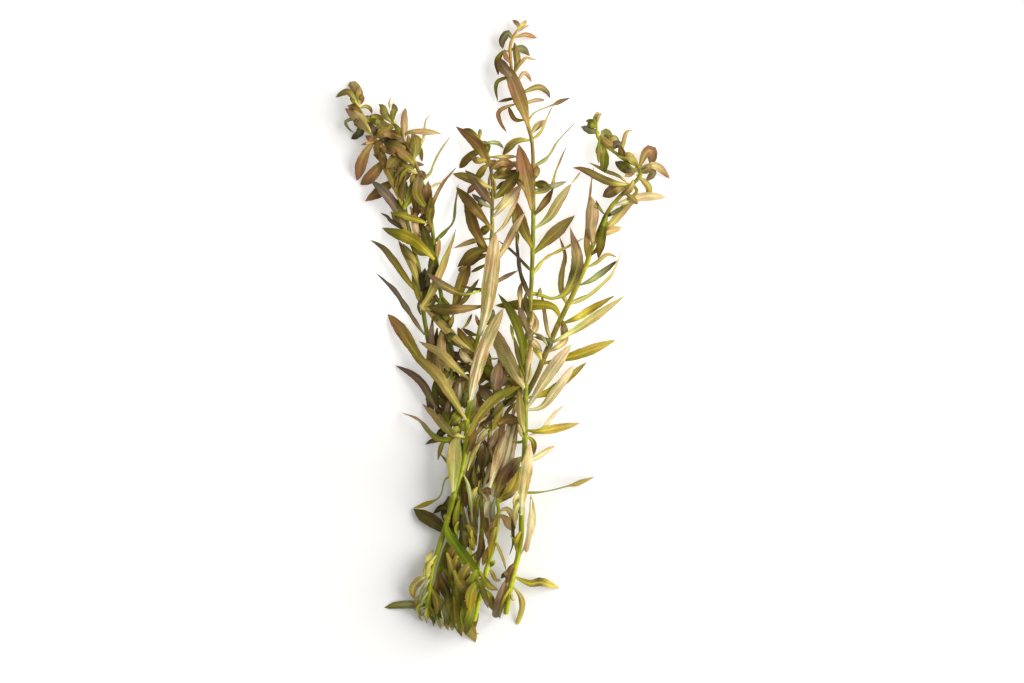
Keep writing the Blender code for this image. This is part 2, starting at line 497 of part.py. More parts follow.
def settled(loose, weights, floor, held=0):
    """A leaf's heights: lifted clear of its floor, then let down again as far as each station can go."""
    free = weights.copy()
    free[:, :held] = 0
    bound = free.max(axis=1) > FOOT_SHARE
    free, weights, floor = free[bound], weights[bound], floor[bound]
    heights = lifted(loose, weights, free, floor)
    for _ in range(LOWERING_ROUNDS):
        for station in range(held, len(heights)):
            near = weights[:, station] > OWN_SHARE
            own = weights[near, station]
            others = weights[near] @ heights - own * heights[station]
            needed = ((floor[near] - others) / own).max()
            heights[station] = min(heights[station], max(loose[station], needed))
    return heights


def stem_shape(stem, pile):
    """The stations of a stem, their radii, and the heights at which it lies on the pile."""
    _, length = along(stem["line"], (0, 1))
    places = np.linspace(0, 1, round(length / STEM_STEP) + 1)
    stations, _ = along(stem["line"], places)
    radii = STEM_RADIUS + (STEM_TIP_RADIUS - STEM_RADIUS) * places**2
    corridor = Ribbon(stations, np.full(len(places), STEM_CORRIDOR), radii)
    low, high = stem["heights"]
    heights = low + (high - low) * np.minimum(1, 2 * places)
    apart = np.arange(len(places))[:, None] - np.arange(len(places))[None, :]
    bend = np.exp(-((apart / STEM_STIFFNESS) ** 2))
    weights = corridor.weights
    heights = lifted(heights, weights, weights @ bend, corridor.floor(pile))
    return stations, radii, heights


def leaf_shape(width, points, foot_height, outline, sag):
    """The stations of a leaf, their half widths, its roll, and its heights before it settles."""
    places = np.array([place for place, _ in outline])
    stations, length = along(points, places)
    full = max(width, LEAF_SLENDERNESS * length)
    across, ahead = stations[-1] - stations[0]
    roll = math.copysign(math.acos(width / full), across * ahead)
    half_widths = np.array([share for _, share in outline]) * full / 2
    arch = LEAF_ARCH * length * np.sin(np.pi * places)
    heights = foot_height * (1 - sag * places**2) + arch
    return stations, half_widths, roll, heights


def poly_curve(name, points, radii, tilt=0.0):
    """A curve object of one straight-run spline, in metres about the part's origin."""
    data = bpy.data.curves.new(name, "CURVE")
    data.dimensions = "3D"
    data.twist_mode = "Z_UP"
    data.use_fill_caps = True
    spline = data.splines.new("POLY")
    spline.points.add(len(points) - 1)
    for knot, (x, y, z), radius in zip(spline.points, points, radii):
        knot.co = ((x - PLAN_CENTRE[0]) * MM, (y - PLAN_CENTRE[1]) * MM, z * MM, 1)
        knot.radius = radius
        knot.tilt = tilt
    return bpy.data.objects.new(name, data)


def leaf_section(guides):
    """A leaf's section one metre wide: flat above, with its midrib below."""
    data = bpy.data.curves.new("leaf_section", "CURVE")
    data.dimensions = "2D"
    spline = data.splines.new("POLY")
    corners = ((-0.5, LEAF_THICKNESS / 2), (0, -LEAF_THICKNESS / 2), (0.5, LEAF_THICKNESS / 2))
    spline.points.add(len(corners) - 1)
    spline.use_cyclic_u = True
    for knot, (x, y) in zip(spline.points, corners):
        knot.co = (x, y, 0, 1)
    section = bpy.data.objects.new("leaf_section", data)
    section.hide_render = True
    section.display_type = "WIRE"
    guides.objects.link(section)
    return section


def as_mesh(curve, collection):
    """Turns a curve object into a mesh object of the same name, with its caps welded on."""
    collection.objects.link(curve)
    graph = bpy.context.evaluated_depsgraph_get()
    mesh = bpy.data.meshes.new_from_object(curve.evaluated_get(graph))
    welded = bmesh.new()
    welded.from_mesh(mesh)
    bmesh.ops.remove_doubles(welded, verts=welded.verts, dist=WELD * MM)
    bmesh.ops.recalc_face_normals(welded, faces=welded.faces)
    welded.to_mesh(mesh)
    welded.free()
    name = curve.name
    place = curve.matrix_world.copy()
    bpy.data.objects.remove(curve)
    obj = bpy.data.objects.new(name, mesh)
    obj.matrix_world = place
    collection.objects.link(obj)
    return obj


def stem_piece(name, stations, radii, heights, collection):
    """A stem: a round tube with cut ends that thins towards its tip."""
    points = np.column_stack([stations, heights])
    curve = poly_curve(name, points, radii / STEM_RADIUS)
    curve.data.bevel_depth = STEM_RADIUS * MM
    curve.data.bevel_resolution = 1
    stem = as_mesh(curve, collection)
    stem.data.shade_smooth()
    return stem


def leaf_piece(name, shape, heights, section, collection):
    """A leaf: its section swept along its midrib, as wide as each station says, rolled about it."""
    stations, half_widths, roll, _ = shape
    curve = poly_curve(name, np.column_stack([stations, heights]), 2 * half_widths * MM, roll)
    curve.data.bevel_mode = "OBJECT"
    curve.data.bevel_object = section
    return as_mesh(curve, collection)


def nearest_on(line, place):
    """The point of a stem's midline nearest to a place on the plan, and the stem's height there."""
    stations, heights = line
    starts, steps = stations[:-1], np.diff(stations, axis=0)
    share = ((place - starts) * steps).sum(axis=1) / (steps**2).sum(axis=1)
    share = np.clip(share, 0, 1)
    feet = starts + share[:, None] * steps
    best = np.linalg.norm(feet - place, axis=1).argmin()
    return feet[best], heights[best] + share[best] * (heights[best + 1] - heights[best])


def lay_leaf(number, width, points, foot_height, outline, pile, held):
    """Settles one leaf on the pile and adds it to the pile."""
    sag = LEAF_SAGS[number % len(LEAF_SAGS)]
    shape = leaf_shape(width, points, foot_height, outline, sag)
    stations, half_widths, roll, loose = shape
    strip = Ribbon(stations, half_widths, half_widths * LEAF_THICKNESS, roll)
    floor = strip.floor(pile)
    if held:
        from_foot = np.linalg.norm(strip.weights @ stations - stations[0], axis=1)
        floor[from_foot < FOOT_REACH] = 0
    heights = settled(loose, strip.weights, floor, held)
    strip.cover(pile, heights)
    return shape, heights


def lay_stem(stem_name, stem, pile, section, parts):
    """A stem and the leaves fused to it, as one body."""
    stations, radii, heights = stem_shape(stem, pile)
    line = (stations, heights)
    obj = stem_piece(stem["node"], stations, radii, heights, parts)
    obj.data.materials.append(new_material(f"{stem['node']}_skin", "stem", STEM_ROUGHNESS))
    obj.data.materials.append(new_material(f"{stem['node']}_leaves", "olive", LEAF_ROUGHNESS))
    Ribbon(stations, radii, radii).cover(pile, heights)

    grown = new_collection(f"{stem['node']}_grown_leaves", hidden=True)
    for number, (width, *points) in enumerate(FUSED_LEAVES[stem_name], 1):
        foot, foot_height = nearest_on(line, np.array(points[0]))
        outline = LONG_LEAF if len(points) > 3 else SHORT_LEAF
        shape, settled_heights = lay_leaf(
            number, width, [foot, *points[1:]], foot_height, outline, pile, held=1
        )
        leaf = leaf_piece(f"{stem_name}_grown_{number:02d}", shape, settled_heights, section, grown)
        leaf.hide_render = True
        leaf.display_type = "WIRE"
        leaf.data.polygons.foreach_set("material_index", [1] * len(leaf.data.polygons))
    return line, obj, grown


def fuse(obj, grown):
    """Joins a stem and the leaves that grow out of it into one body."""
    union = obj.modifiers.new("grown_leaves", "BOOLEAN")
    union.operation = "UNION"
    union.operand_type = "COLLECTION"
    union.collection = grown


def lay_single_leaves(stem_name, line, pile, section, parts):
    """The leaves of a stem that are pieces of their own."""
    for number, (tone, width, *points) in enumerate(SINGLE_LEAVES[stem_name], 1):
        _, foot_height = nearest_on(line, np.array(points[0]))
        shape, heights = lay_leaf(number, width, points, foot_height, SINGLE_LEAF, pile, held=0)
        name = f"leaf_{stem_name}_{number:02d}"
        leaf = leaf_piece(name, shape, heights, section, parts)
        leaf.data.materials.append(new_material(name, tone, LEAF_ROUGHNESS))


def main():
    clear_scene()
    parts = new_collection(OBJECT_NAME)
    guides = new_collection("guides", hidden=True)
    section = leaf_section(guides)
    pile = Pile()
    stems = []
    for stem_name, stem in STEMS.items():
        line, obj, grown = lay_stem(stem_name, stem, pile, section, parts)
        lay_single_leaves(stem_name, line, pile, section, parts)
        stems.append((obj, grown))
    for obj, grown in stems:
        fuse(obj, grown)


main()
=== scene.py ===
# A bunch of cut ludwigia stems lying on a white table, seen from straight above.
# Places on the plan are in millimetres: x to the right, y towards the tips, z up from the table.

import json
import math

import bpy
import numpy as np
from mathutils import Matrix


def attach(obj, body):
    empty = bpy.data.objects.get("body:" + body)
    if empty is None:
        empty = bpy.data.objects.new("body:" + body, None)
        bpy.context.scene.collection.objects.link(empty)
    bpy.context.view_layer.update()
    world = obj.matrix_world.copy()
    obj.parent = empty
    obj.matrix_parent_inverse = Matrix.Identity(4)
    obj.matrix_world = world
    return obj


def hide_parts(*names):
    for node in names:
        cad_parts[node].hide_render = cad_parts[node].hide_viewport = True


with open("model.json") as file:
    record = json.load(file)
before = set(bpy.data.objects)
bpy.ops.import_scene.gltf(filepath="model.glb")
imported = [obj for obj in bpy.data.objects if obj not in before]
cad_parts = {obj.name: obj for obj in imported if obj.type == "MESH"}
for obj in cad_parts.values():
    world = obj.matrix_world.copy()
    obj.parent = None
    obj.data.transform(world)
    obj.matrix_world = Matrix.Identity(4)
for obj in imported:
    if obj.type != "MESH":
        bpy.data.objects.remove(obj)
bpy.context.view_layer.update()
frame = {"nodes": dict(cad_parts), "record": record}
print("frame loaded,", len(frame["nodes"]), "solids")

plan = {
    "mm": 0.001,
    "middle": (0.6, -0.36),  # the place on the plan that is over the part's origin
    "reach": (90.0, 150.0),  # how far the height map goes each way from there
    "cell": 0.4,
    "gap": 0.36,  # what one thing keeps from the thing that it lies on
    "fillingGap": 0.05,
    "slack": 0.004,  # what is kept from the table, and the least shortfall that counts
    "fineness": 24,  # places on a smooth line from one of its points to the next
    "strip": (14, 11),  # places along a thing from one station to the next, and across it
    "lifts": 400,  # how often a thing may be lifted
    "letDowns": 4,  # how often its stations are let down
    "bound": 0.4,  # the floor counts where one free station carries more than this share
    "near": 0.02,  # and for a station where it carries more than this
    "lowest": 0.03,  # no point of a surface is nearer to the table
    "sharp": 70.0,  # an edge that turns by more degrees isn't smoothed
}


# Colours

# Each tone of the leaves: the blade, and the midrib and stalk that go with it.
tones = {
    "cream": ("#c8bb92", "#efe9cc"),
    "pale": ("#bda777", "#ebe3b4"),
    "wheat": ("#bba45f", "#e6dc90"),
    "lichen": ("#a29c56", "#d6d48a"),
    "tan": ("#a88f62", "#d8c88c"),
    "khaki": ("#927f44", "#c4b662"),
    "sage": ("#7f825a", "#b5b873"),
    "olive": ("#706028", "#a89c3a"),
    "mustard": ("#8f7f1a", "#c4b83e"),
    "lime": ("#93a01c", "#c0c442"),
    "moss": ("#6c6c1c", "#9c9e30"),
    "green": ("#465d08", "#7f901a"),
    "deep": ("#4b4a1a", "#777a28"),
    "dark": ("#413519", "#6c662a"),
    "black": ("#1e1b10", "#3b3518"),
    "brown": ("#634a24", "#937b3c"),
    "copper": ("#8d6b44", "#c0a65e"),
    "rust": ("#81593d", "#ad8b4f"),
    "pink": ("#b0926f", "#d6c08c"),
    "purple": ("#695645", "#9a8660"),
    "plum": ("#4e3e36", "#7a6a48"),
    "grey": ("#676550", "#9a9a68"),
    "straw": ("#b2a04a", "#d8d070"),
}

# The skin of the stems, from the cut ends to the tips of the plants.
skins = {
    "lime": "#9ea31a",
    "leaf": "#92981a",
    "moss": "#7a7f1a",
    "fern": "#646918",
    "olive": "#746d28",
    "khaki": "#8a7f30",
    "gold": "#a49c28",
    "bark": "#80682e",
    "umber": "#7a5c36",
    "copper": "#b68850",
}


exposure = 1.1  # every colour is lighter than it looks in the picture by this much


def linear(hexColour):
    # sRGB hex to the linear values that a shader takes
    channels = np.array([int(hexColour[i:i + 2], 16) for i in (1, 3, 5)]) / 255
    return np.where(channels <= 0.04045, channels / 12.92, ((channels + 0.055) / 1.055) ** 2.4)


# The plants

# Each stem from its cut end to its tip, in the order in which they were laid down. heights are
# those of its two ends where nothing lifts it, and skin is its colour at even steps.
stems = {
    "left": {
        "node": "stem_left",
        "heights": (1.2, 5.0),
        "skin": ("moss", "moss", "fern", "fern", "fern", "olive", "moss", "bark"),
        "line": ((-27.8, -121.5), (-27.2, -112), (-26.4, -103), (-24, -94), (-21, -86), (-19.8, -77),
                 (-19.4, -68), (-19.6, -58), (-20.6, -50), (-21.8, -44), (-23.2, -36), (-24.6, -29),
                 (-26.4, -21.5), (-29.6, -11), (-31.3, -2), (-33.2, 10), (-34.6, 25), (-37, 34),
                 (-39.3, 44), (-41.4, 52.7), (-43, 62), (-49.4, 72.5), (-53.7, 81), (-60.3, 94.5)),
    },
    "back": {
        "node": "stem_back",
        "heights": (1.2, 5.0),
        "skin": ("fern", "fern", "moss", "moss", "moss", "fern", "olive", "bark"),
        "line": ((-21.5, -124), (-20.4, -114), (-19, -104), (-17.5, -94), (-16.5, -84), (-16.8, -74),
                 (-17, -66), (-16.8, -60), (-17, -52), (-18, -44), (-18.8, -36), (-20, -28), (-21, -21),
                 (-22.4, -10), (-24, 2), (-25, 12.4), (-26, 18.3), (-27.2, 27.3), (-28.6, 38.2),
                 (-30.2, 48.9), (-33.4, 62.4), (-36.6, 70.9), (-39.8, 76.8), (-44.1, 85.3), (-47, 89)),
    },
    "middle": {
        "node": "stem_middle",
        "heights": (1.2, 4.0),
        "skin": ("moss", "moss", "olive", "fern"),
        "line": ((-15, -124), (-12.6, -112), (-11, -104), (-9.8, -96), (-8.6, -88), (-8, -80),
                 (-8.6, -72), (-9.4, -65), (-8.2, -58), (-6.2, -51), (-5, -44), (-4.6, -37),
                 (-3.8, -31), (-2.6, -25), (-1.8, -21)),
    },
    "short": {
        "node": "stem_short",
        "heights": (1.2, 4.0),
        "skin": ("lime", "leaf", "leaf"),
        "line": ((-11.6, -122), (-9.8, -114), (-7.8, -107), (-5.8, -99), (-3.4, -91), (-1.9, -83),
                 (-1.2, -76), (-2.4, -70)),
    },
    "shoot": {
        "node": "side_shoot",
        "heights": (2.6, 6.0),
        "skin": ("olive", "bark", "khaki", "gold", "gold", "khaki", "khaki", "gold"),
        "line": ((10.3, -27.4), (12.2, -24), (15.2, -18), (17.4, -12.5), (19.3, -8), (23.1, 1), (26.8, 8.5),
                 (29.4, 13.7), (35.8, 28), (38, 34.7), (43.3, 47), (45.9, 51.6), (49.7, 56.1),
                 (54.8, 61.2), (58.2, 65), (57.5, 69), (52.3, 71.5), (47.8, 74.8), (42.6, 78.6),
                 (40.3, 82), (40.2, 86.3)),
    },
    "tall": {
        "node": "stem_tall",
        "heights": (1.2, 5.0),
        "skin": ("lime", "lime", "leaf", "moss", "moss", "moss", "olive", "moss", "khaki", "umber",
                 "copper", "copper"),
        "line": ((1.8, -119.5), (3, -112), (4.2, -106), (5.4, -101), (7.2, -94), (8.3, -86),
                 (8.5, -77), (9.7, -50), (10, -40), (10.2, -18), (10.3, -6.5), (11.5, 4), (12.4, 16),
                 (12.9, 27.3), (13.3, 41.8), (13.4, 54.8), (13.4, 67.7), (12.7, 80), (10.5, 88),
                 (8.2, 95), (6.2, 102), (4.6, 108), (3.9, 113), (3.6, 119), (4.6, 122.5), (7, 127)),
    },
    "front": {
        "node": "stem_front",
        "heights": (1.2, 5.0),
        "skin": ("leaf", "leaf", "moss", "leaf", "lime", "lime", "khaki", "umber", "umber"),
        "line": ((-31.3, -121), (-30.6, -112), (-29.5, -102.3), (-27.6, -95.9), (-25.7, -89.5),
                 (-23.7, -83), (-21.8, -76.6), (-20.2, -69.5), (-18.3, -63.6), (-16, -56), (-15, -47.7),
                 (-14.1, -31.3), (-12.9, -23), (-11.8, -14), (-10.7, -6.5), (-8.4, 4), (-6.9, 13.7),
                 (-5.4, 27.3), (-4, 41.5), (-4, 49.4), (-3.9, 63.1), (-5.9, 74), (-9, 80.5)),
    },
}

# The small leaves of each stem: the tones of blade and tip, with a word for a form of its own, the
# width as seen from above, and the midrib from its foot to its tip.
# A leaf marked streaked has pale streaks, partly whitish tissue and partly painted highlight.
grownLeaves = {
    "left": (
        ("brown copper", 4.6, (-44.5, 64), (-47.5, 61), (-51.5, 57.8), (-57.5, 54.3)),
        ("copper rust", 5.0, (-49, 72), (-52.6, 67.8), (-55.6, 64.4), (-59.6, 61.4)),
        ("khaki tan blunt", 4.8, (-60, 94), (-61, 99), (-62, 102), (-63.8, 104.6)),
        ("khaki copper", 2.6, (-60, 94), (-60.3, 99), (-59.8, 103)),
        ("khaki moss", 2.6, (-60, 94), (-64, 99.8), (-66.5, 100), (-69.8, 98.2)),
        ("olive brown", 1.8, (-59.8, 93.4), (-57.3, 94.2), (-55.3, 93.3), (-54.5, 91.3)),
        ("sage plum strap", 1.4, (-58, 90), (-65.3, 88), (-64.2, 84.8), (-62, 83.2)),
        ("grey dark", 3.4, (-55, 84), (-58.5, 86), (-60, 83), (-62.5, 81.5)),
        ("olive moss", 2.8, (-57.5, 88.5), (-54.5, 89.8), (-51.5, 89.3), (-49.5, 87.6)),
        ("rust copper", 2.4, (-52, 78), (-55, 80.5), (-57.5, 82)),
        ("copper rust", 3.0, (-43.2, 62.3), (-41.8, 65.5), (-39, 68), (-36, 70), (-32.3, 69.6)),
        ("khaki olive", 3.0, (-33.8, 15.8), (-37.5, 27), (-41, 33.5), (-43.5, 38)),
        ("black black", 2.8, (-32.4, 15.5), (-32.8, 21), (-32.2, 26.3)),
        ("plum grey strap", 1.8, (-41, 41), (-46.3, 46), (-48, 47.9), (-51, 49.5)),
        ("dark olive", 3.4, (-23, -38), (-23.5, -33), (-26.5, -28)),
        ("mustard khaki", 1.8, (-21, -46.5), (-25, -47.7), (-26.9, -54.7)),
        ("brown dark", 2.2, (-21.5, -45), (-28.9, -46.4), (-32.2, -48.2)),
        ("dark deep", 2.4, (-20, -78), (-24, -74.5), (-29, -77.2)),
        ("brown olive", 2.6, (-23, -92), (-20.5, -97), (-20, -101), (-20.3, -105)),
        ("purple brown", 3.4, (-26.5, -103), (-24, -109), (-22, -114.5)),
        ("sage moss", 3.4, (-27.6, -118), (-35, -115.6), (-43, -115.5), (-49.4, -116.9)),
        ("olive moss", 2.6, (-26, -101), (-28.2, -109), (-31.5, -118), (-34.2, -120.6)),
        ("copper rust", 4.4, (-53, 80), (-56.9, 75.7), (-59.3, 70.5), (-61, 63)),
    ),
    "back": (
        ("khaki moss", 3.4, (-46, 87), (-49, 91), (-50, 94), (-51.8, 95.2)),
        ("olive moss", 2.8, (-46, 87), (-45.5, 91), (-44.8, 93), (-45.7, 95.8)),
        ("pink copper", 3.2, (-40.8, 79.4), (-41, 84), (-41, 88), (-40.9, 91), (-40.3, 93.8)),
        ("tan copper strap", 1.3, (-37.6, 73), (-33, 80), (-32, 88), (-30, 90.7)),
        ("khaki mustard", 4.6, (-36.6, 72), (-36.2, 76), (-36.4, 80), (-38, 83.3)),
        ("plum purple", 3.6, (-40.5, 78.6), (-43, 80), (-47, 82), (-51, 83)),
        ("brown olive", 5.0, (-39, 75.5), (-45, 77), (-50, 79.5)),
        ("khaki brown", 3.2, (-34.6, 65.5), (-39, 68), (-43, 71.5), (-46, 74.5)),
        ("brown copper", 4.0, (-30, 47), (-32.5, 52), (-31.3, 57), (-30.8, 63)),
        ("pink tan", 3.0, (-28.6, 37), (-35.4, 41), (-36.6, 46), (-35.4, 52.6)),
        ("olive moss", 3.4, (-30, 42), (-30.2, 47), (-29.6, 52), (-29.5, 57)),
        ("brown copper strap", 1.4, (-30.4, 50), (-27, 58), (-24.5, 62.5), (-19, 68.7)),
        ("sage tan strap", 1.2, (-33, 63), (-30, 66), (-28.5, 70), (-26, 75), (-21.5, 81.8)),
        ("deep olive strap", 1.4, (-28.4, 36.8), (-23, 42.5), (-20.5, 46), (-19.4, 54), (-18.2, 61.5)),
        ("copper tan", 2.2, (-27.3, 28.5), (-27, 33), (-26, 39.5)),
        ("deep dark", 4.0, (-27.8, 30.5), (-30.5, 35), (-32, 40.5), (-33.3, 45)),
        ("deep moss", 3.0, (-24.9, 11), (-24, 7.5), (-21.5, 3.5)),
        ("olive brown", 4.8, (-24.6, 8), (-20, 10), (-18, 17), (-16, 23), (-13.5, 30)),
        ("dark olive", 2.2, (-24.4, 7), (-16.5, 12), (-13.5, 16), (-9.3, 21.9)),
        ("dark brown", 3.0, (-21, -18), (-20.5, -13), (-18, -8.7)),
        ("dark deep", 3.2, (-21.6, -17), (-21.8, -9), (-23, -3)),
        ("tan khaki", 2.2, (-20.3, -29), (-21.5, -25), (-19.5, -18.5)),
        ("purple tan", 3.6, (-18.6, -36), (-18.5, -27), (-16, -17)),
        ("olive deep", 3.0, (-16.9, -60), (-14.4, -66), (-14.2, -72)),
        ("deep dark", 3.4, (-16.5, -80), (-14.8, -87), (-12, -93)),
        ("purple brown", 2.6, (-18, -98), (-17.6, -104), (-16.2, -110)),
        ("moss olive", 3.0, (-20, -112), (-22.6, -118), (-24.6, -124.6)),
        ("copper tan", 2.5, (-41.4, 81), (-38.5, 83.5), (-30, 83.6), (-25, 82.7)),
    ),
    "middle": (
        ("deep moss", 4.0, (-2.4, -24), (-5, -18), (-6.5, -14)),
        ("purple brown", 5.0, (-3.8, -31), (-6, -27), (-9.5, -23)),
        ("dark mustard", 3.0, (-4.7, -38), (-1, -32.5), (4.8, -28.5)),
        ("dark olive", 2.4, (-5, -43), (-8, -38.5), (-11.5, -34)),
        ("tan khaki", 2.0, (-8.4, -59), (-11, -50.5), (-8, -46), (-5, -42.8)),
        ("sage grey", 2.6, (-8.8, -61), (-11.5, -55), (-12.5, -48)),
        ("tan khaki", 2.4, (-9.2, -67), (-6, -72), (-5.4, -79)),
        ("brown khaki", 2.6, (-8.4, -74), (-6.8, -81), (-6, -88)),
        ("brown purple", 3.0, (-8.2, -84), (-8.6, -92), (-11.5, -99)),
        ("lime straw", 1.4, (-10.4, -100), (-13, -93), (-12.5, -87)),
        ("brown mustard", 2.4, (-12.8, -113), (-10.6, -119), (-12, -126), (-9.3, -128.2)),
        ("purple grey", 4.2, (-2.6, -27), (0, -20), (-0.5, -15), (-1.5, -12)),
    ),
    "short": (
        ("olive khaki strap", 1.3, (-2.6, -88), (0.5, -96), (2, -101.4)),
        ("olive mustard", 1.8, (-6.4, -101.5), (-4.4, -101), (-2.6, -104.6), (0, -105.6)),
        ("moss lime", 1.8, (-6, -100), (-2.7, -96.7)),
        ("moss olive", 3.4, (-8, -108), (-5, -112), (-3.6, -118)),
        ("mustard moss", 2.2, (-1.8, -73), (3, -69.5), (7, -66)),
        ("tan sage", 2.6, (-1.4, -77), (1.8, -75), (4.4, -78), (4.6, -84)),
        ("copper tan", 3.8, (-0.9, -77.6), (1.2, -79), (4.9, -84.5)),
    ),
    "shoot": (
        ("khaki copper strap", 2.2, (27.5, 10.6), (25.2, 18), (25.7, 25), (26.8, 31.5), (24.3, 39.8)),
        ("tan brown strap", 1.8, (20.8, -4), (19.2, 1), (17.5, 12), (16.2, 18.3)),
        ("straw khaki", 3.0, (17, -13), (15, -8), (13, -3.6)),
        ("grey pink", 2.0, (18.4, -10), (21, -5.5), (19, -4), (12.8, -2.6)),
        ("tan copper", 3.4, (18.6, -9.6), (26, -5), (26.2, 1), (25.6, 4.5)),
        ("khaki tan", 1.8, (34.8, 26), (40, 28.5), (44.6, 32), (49, 30.6)),
        ("sage brown", 2.6, (31.6, 18.6), (37, 20.8), (41, 23.5), (49.2, 29.7)),
        ("lichen tan strap", 1.4, (27.8, 11), (36.5, 14.8), (44, 21.3), (47, 25), (50.8, 34)),
        ("brown moss", 3.2, (36.8, 31), (41, 35), (42.2, 41.6), (43.4, 49)),
        ("brown copper strap", 1.4, (36.8, 29.6), (35.6, 45), (37.4, 60), (38.8, 68.5)),
        ("khaki tan", 3.4, (38.6, 36), (42, 40.4), (46.5, 42), (50.8, 43.3)),
        ("khaki tan", 3.8, (40.4, 40), (47, 45.5), (54, 53.5), (58, 55)),
        ("dark green", 2.0, (43.4, 47.4), (48, 50), (51.5, 52)),
        ("khaki brown", 5.0, (53, 60), (49.4, 60), (46, 58.4), (42.6, 56.3)),
        ("khaki tan", 1.6, (54.2, 61), (49, 65), (44, 67), (36.6, 70.8)),
        ("moss dark", 4.4, (57.6, 67), (53, 67.5), (47.8, 71)),
        ("moss deep", 4.0, (43.4, 78), (43, 73), (43, 69), (43.3, 66.2)),
        ("sage grey", 3.2, (40.2, 82.6), (37.4, 84.2), (33.5, 85.8)),
        ("olive moss", 1.8, (40.2, 86), (38, 88), (35.4, 88.2)),
        ("moss tan", 2.0, (40.2, 86), (39.3, 89), (41, 92.4)),
        ("lichen grey", 3.0, (44, 78), (46.6, 80.8), (49.8, 79.4)),
        ("khaki pink", 2.0, (50.4, 73.4), (51.2, 79), (52.6, 83.4), (55.4, 84.4)),
        ("copper purple", 4.2, (57.6, 68), (60.5, 74), (63, 75.5), (63.3, 68.5)),
        ("grey pink", 3.2, (58.4, 66.6), (62, 68.2), (63.6, 66), (60.4, 62.4)),
        ("khaki straw", 2.8, (57.8, 65), (61.8, 60), (60.5, 55)),
        ("mustard olive", 2.9, (25, 1.6), (31.6, 5.2), (37.6, 8.9), (48.3, 15)),
        ("tan rust", 3.2, (58, 68.6), (65, 69), (71, 64)),
    ),
    "tall": (
        ("copper rust", 1.8, (7, 127), (6.8, 128.8), (4.6, 130.8)),
        ("straw purple", 1.8, (7, 127), (8.8, 128.4), (10.6, 130.6)),
        ("copper rust", 2.0, (5, 123.2), (10, 124.4), (15, 123.2)),
        ("grey olive", 3.2, (4.3, 122.4), (2.6, 125.2), (0.1, 122), (0.5, 118.5)),
        ("grey olive", 3.2, (3.7, 118), (6, 118.6), (9, 118.6), (12, 115.6)),
        ("khaki olive", 3.0, (4.8, 107), (6.5, 112), (6, 117), (5.4, 121.3)),
        ("copper pink strap", 1.4, (4.6, 108), (8.5, 112.8), (10.5, 114.6), (15.3, 113.7)),
        ("olive brown", 2.4, (3.6, 117.6), (0.6, 117.2), (-1.8, 113.5), (-1.4, 107.4)),
        ("pink copper", 1.8, (6, 103), (9, 108.2), (11, 107.4), (12.7, 104.6)),
        ("pink grey", 1.8, (8.2, 94.8), (12, 96.2), (15, 97), (18.3, 97)),
        ("dark olive", 1.4, (7.5, 98), (2, 97), (-1.6, 96.2)),
        ("olive brown strap", 1.6, (5, 107), (-1, 105.3), (-2.5, 102), (-1.6, 96.3)),
        ("brown olive", 2.0, (10.4, 88.6), (5.5, 88.9), (2.6, 95)),
        ("copper rust", 1.8, (8, 96), (-0.6, 92.5), (-0.6, 88), (2.3, 83.3)),
        ("tan pink", 2.6, (12.4, 82), (15, 85.8), (19, 88.8)),
        ("khaki plum strand", 1.6, (10.8, 87), (14, 91.6), (21.5, 94.8), (28.8, 97.9)),
        ("khaki tan strap", 1.2, (12.7, 80), (16.5, 83.6), (20, 91.5), (21.5, 94.3)),
        ("khaki olive", 3.2, (12.6, 80), (6, 79.3), (0.3, 73.5)),
        ("sage khaki strap", 1.1, (13.4, 69), (19, 72.5), (24, 80), (30.8, 87.3)),
        ("khaki purple strap", 1.5, (13.4, 57.5), (20.5, 60), (23.3, 68), (27.3, 77.4)),
        ("sage grey", 2.4, (13.4, 59), (21, 60.5), (27.7, 62.8)),
        ("brown olive", 3.0, (13.4, 48), (18.5, 54.5), (22, 60)),
        ("olive copper", 4.6, (13.2, 34), (11.5, 38), (9, 44), (6.3, 54.7)),
        ("straw olive strap", 1.3, (12.8, 23), (18.5, 30.3), (27.5, 35), (34.5, 38.8)),
        ("tan purple", 2.8, (10.2, -14), (12.3, -4), (8.3, 7), (7.9, 19.7)),
        ("plum brown strap", 1.8, (12.2, 13), (8.3, 23.5), (6.8, 34), (5.7, 43)),
        ("dark plum strap", 1.4, (12.8, 24.6), (5, 33), (-1.3, 37.8)),
        ("pale straw", 2.2, (10.2, -24), (12.3, -10), (12.7, -4)),
        ("tan khaki", 2.8, (10.6, -4), (14.6, 1.5), (13.4, 8)),
        ("pale pink", 1.8, (10, -45), (16.5, -42), (22, -35.7), (26.5, -31.3)),
        ("khaki olive", 3.6, (9.8, -44), (8.3, -38), (7, -23.5)),
        ("mustard olive", 2.2, (9.9, -44), (13.4, -47), (13.6, -53)),
        ("pale tan", 2.4, (9.5, -54), (14, -53.8), (22.6, -48.6)),
        ("dark purple strap", 1.6, (8.6, -70), (5.2, -79.8), (4.8, -89.5), (3.3, -94.6)),
        ("lichen moss", 2.4, (8.6, -69), (6, -74), (6.6, -80)),
        ("khaki straw blunt", 2.6, (4, -107), (7.8, -112), (8.4, -117), (6.4, -124)),
        ("pale straw", 1.4, (3.6, -109), (4.6, -113), (6, -113.4)),
        ("moss khaki strand", 1.8, (11.3, -68.4), (18.7, -67.6), (30.9, -64.4), (38.9, -61.8)),
        ("khaki purple", 2.5, (8.8, 99.7), (15.2, 102.4), (19, 100.6), (20.6, 97.8)),
    ),
    "front": (
        ("tan pink", 3.0, (-5.6, 24), (1.5, 35), (6.5, 44.5), (10, 50)),
        ("tan pink", 1.8, (-4.2, 39.5), (1.5, 45), (7.8, 58)),
        ("pale pink", 4.0, (-4, 47), (2, 53.5), (9, 61.5)),
        ("dark dark", 2.0, (-4, 58), (1, 62), (3.6, 59)),
        ("copper rust", 3.6, (-5.2, 71), (-3, 70.3), (-1, 67.5)),
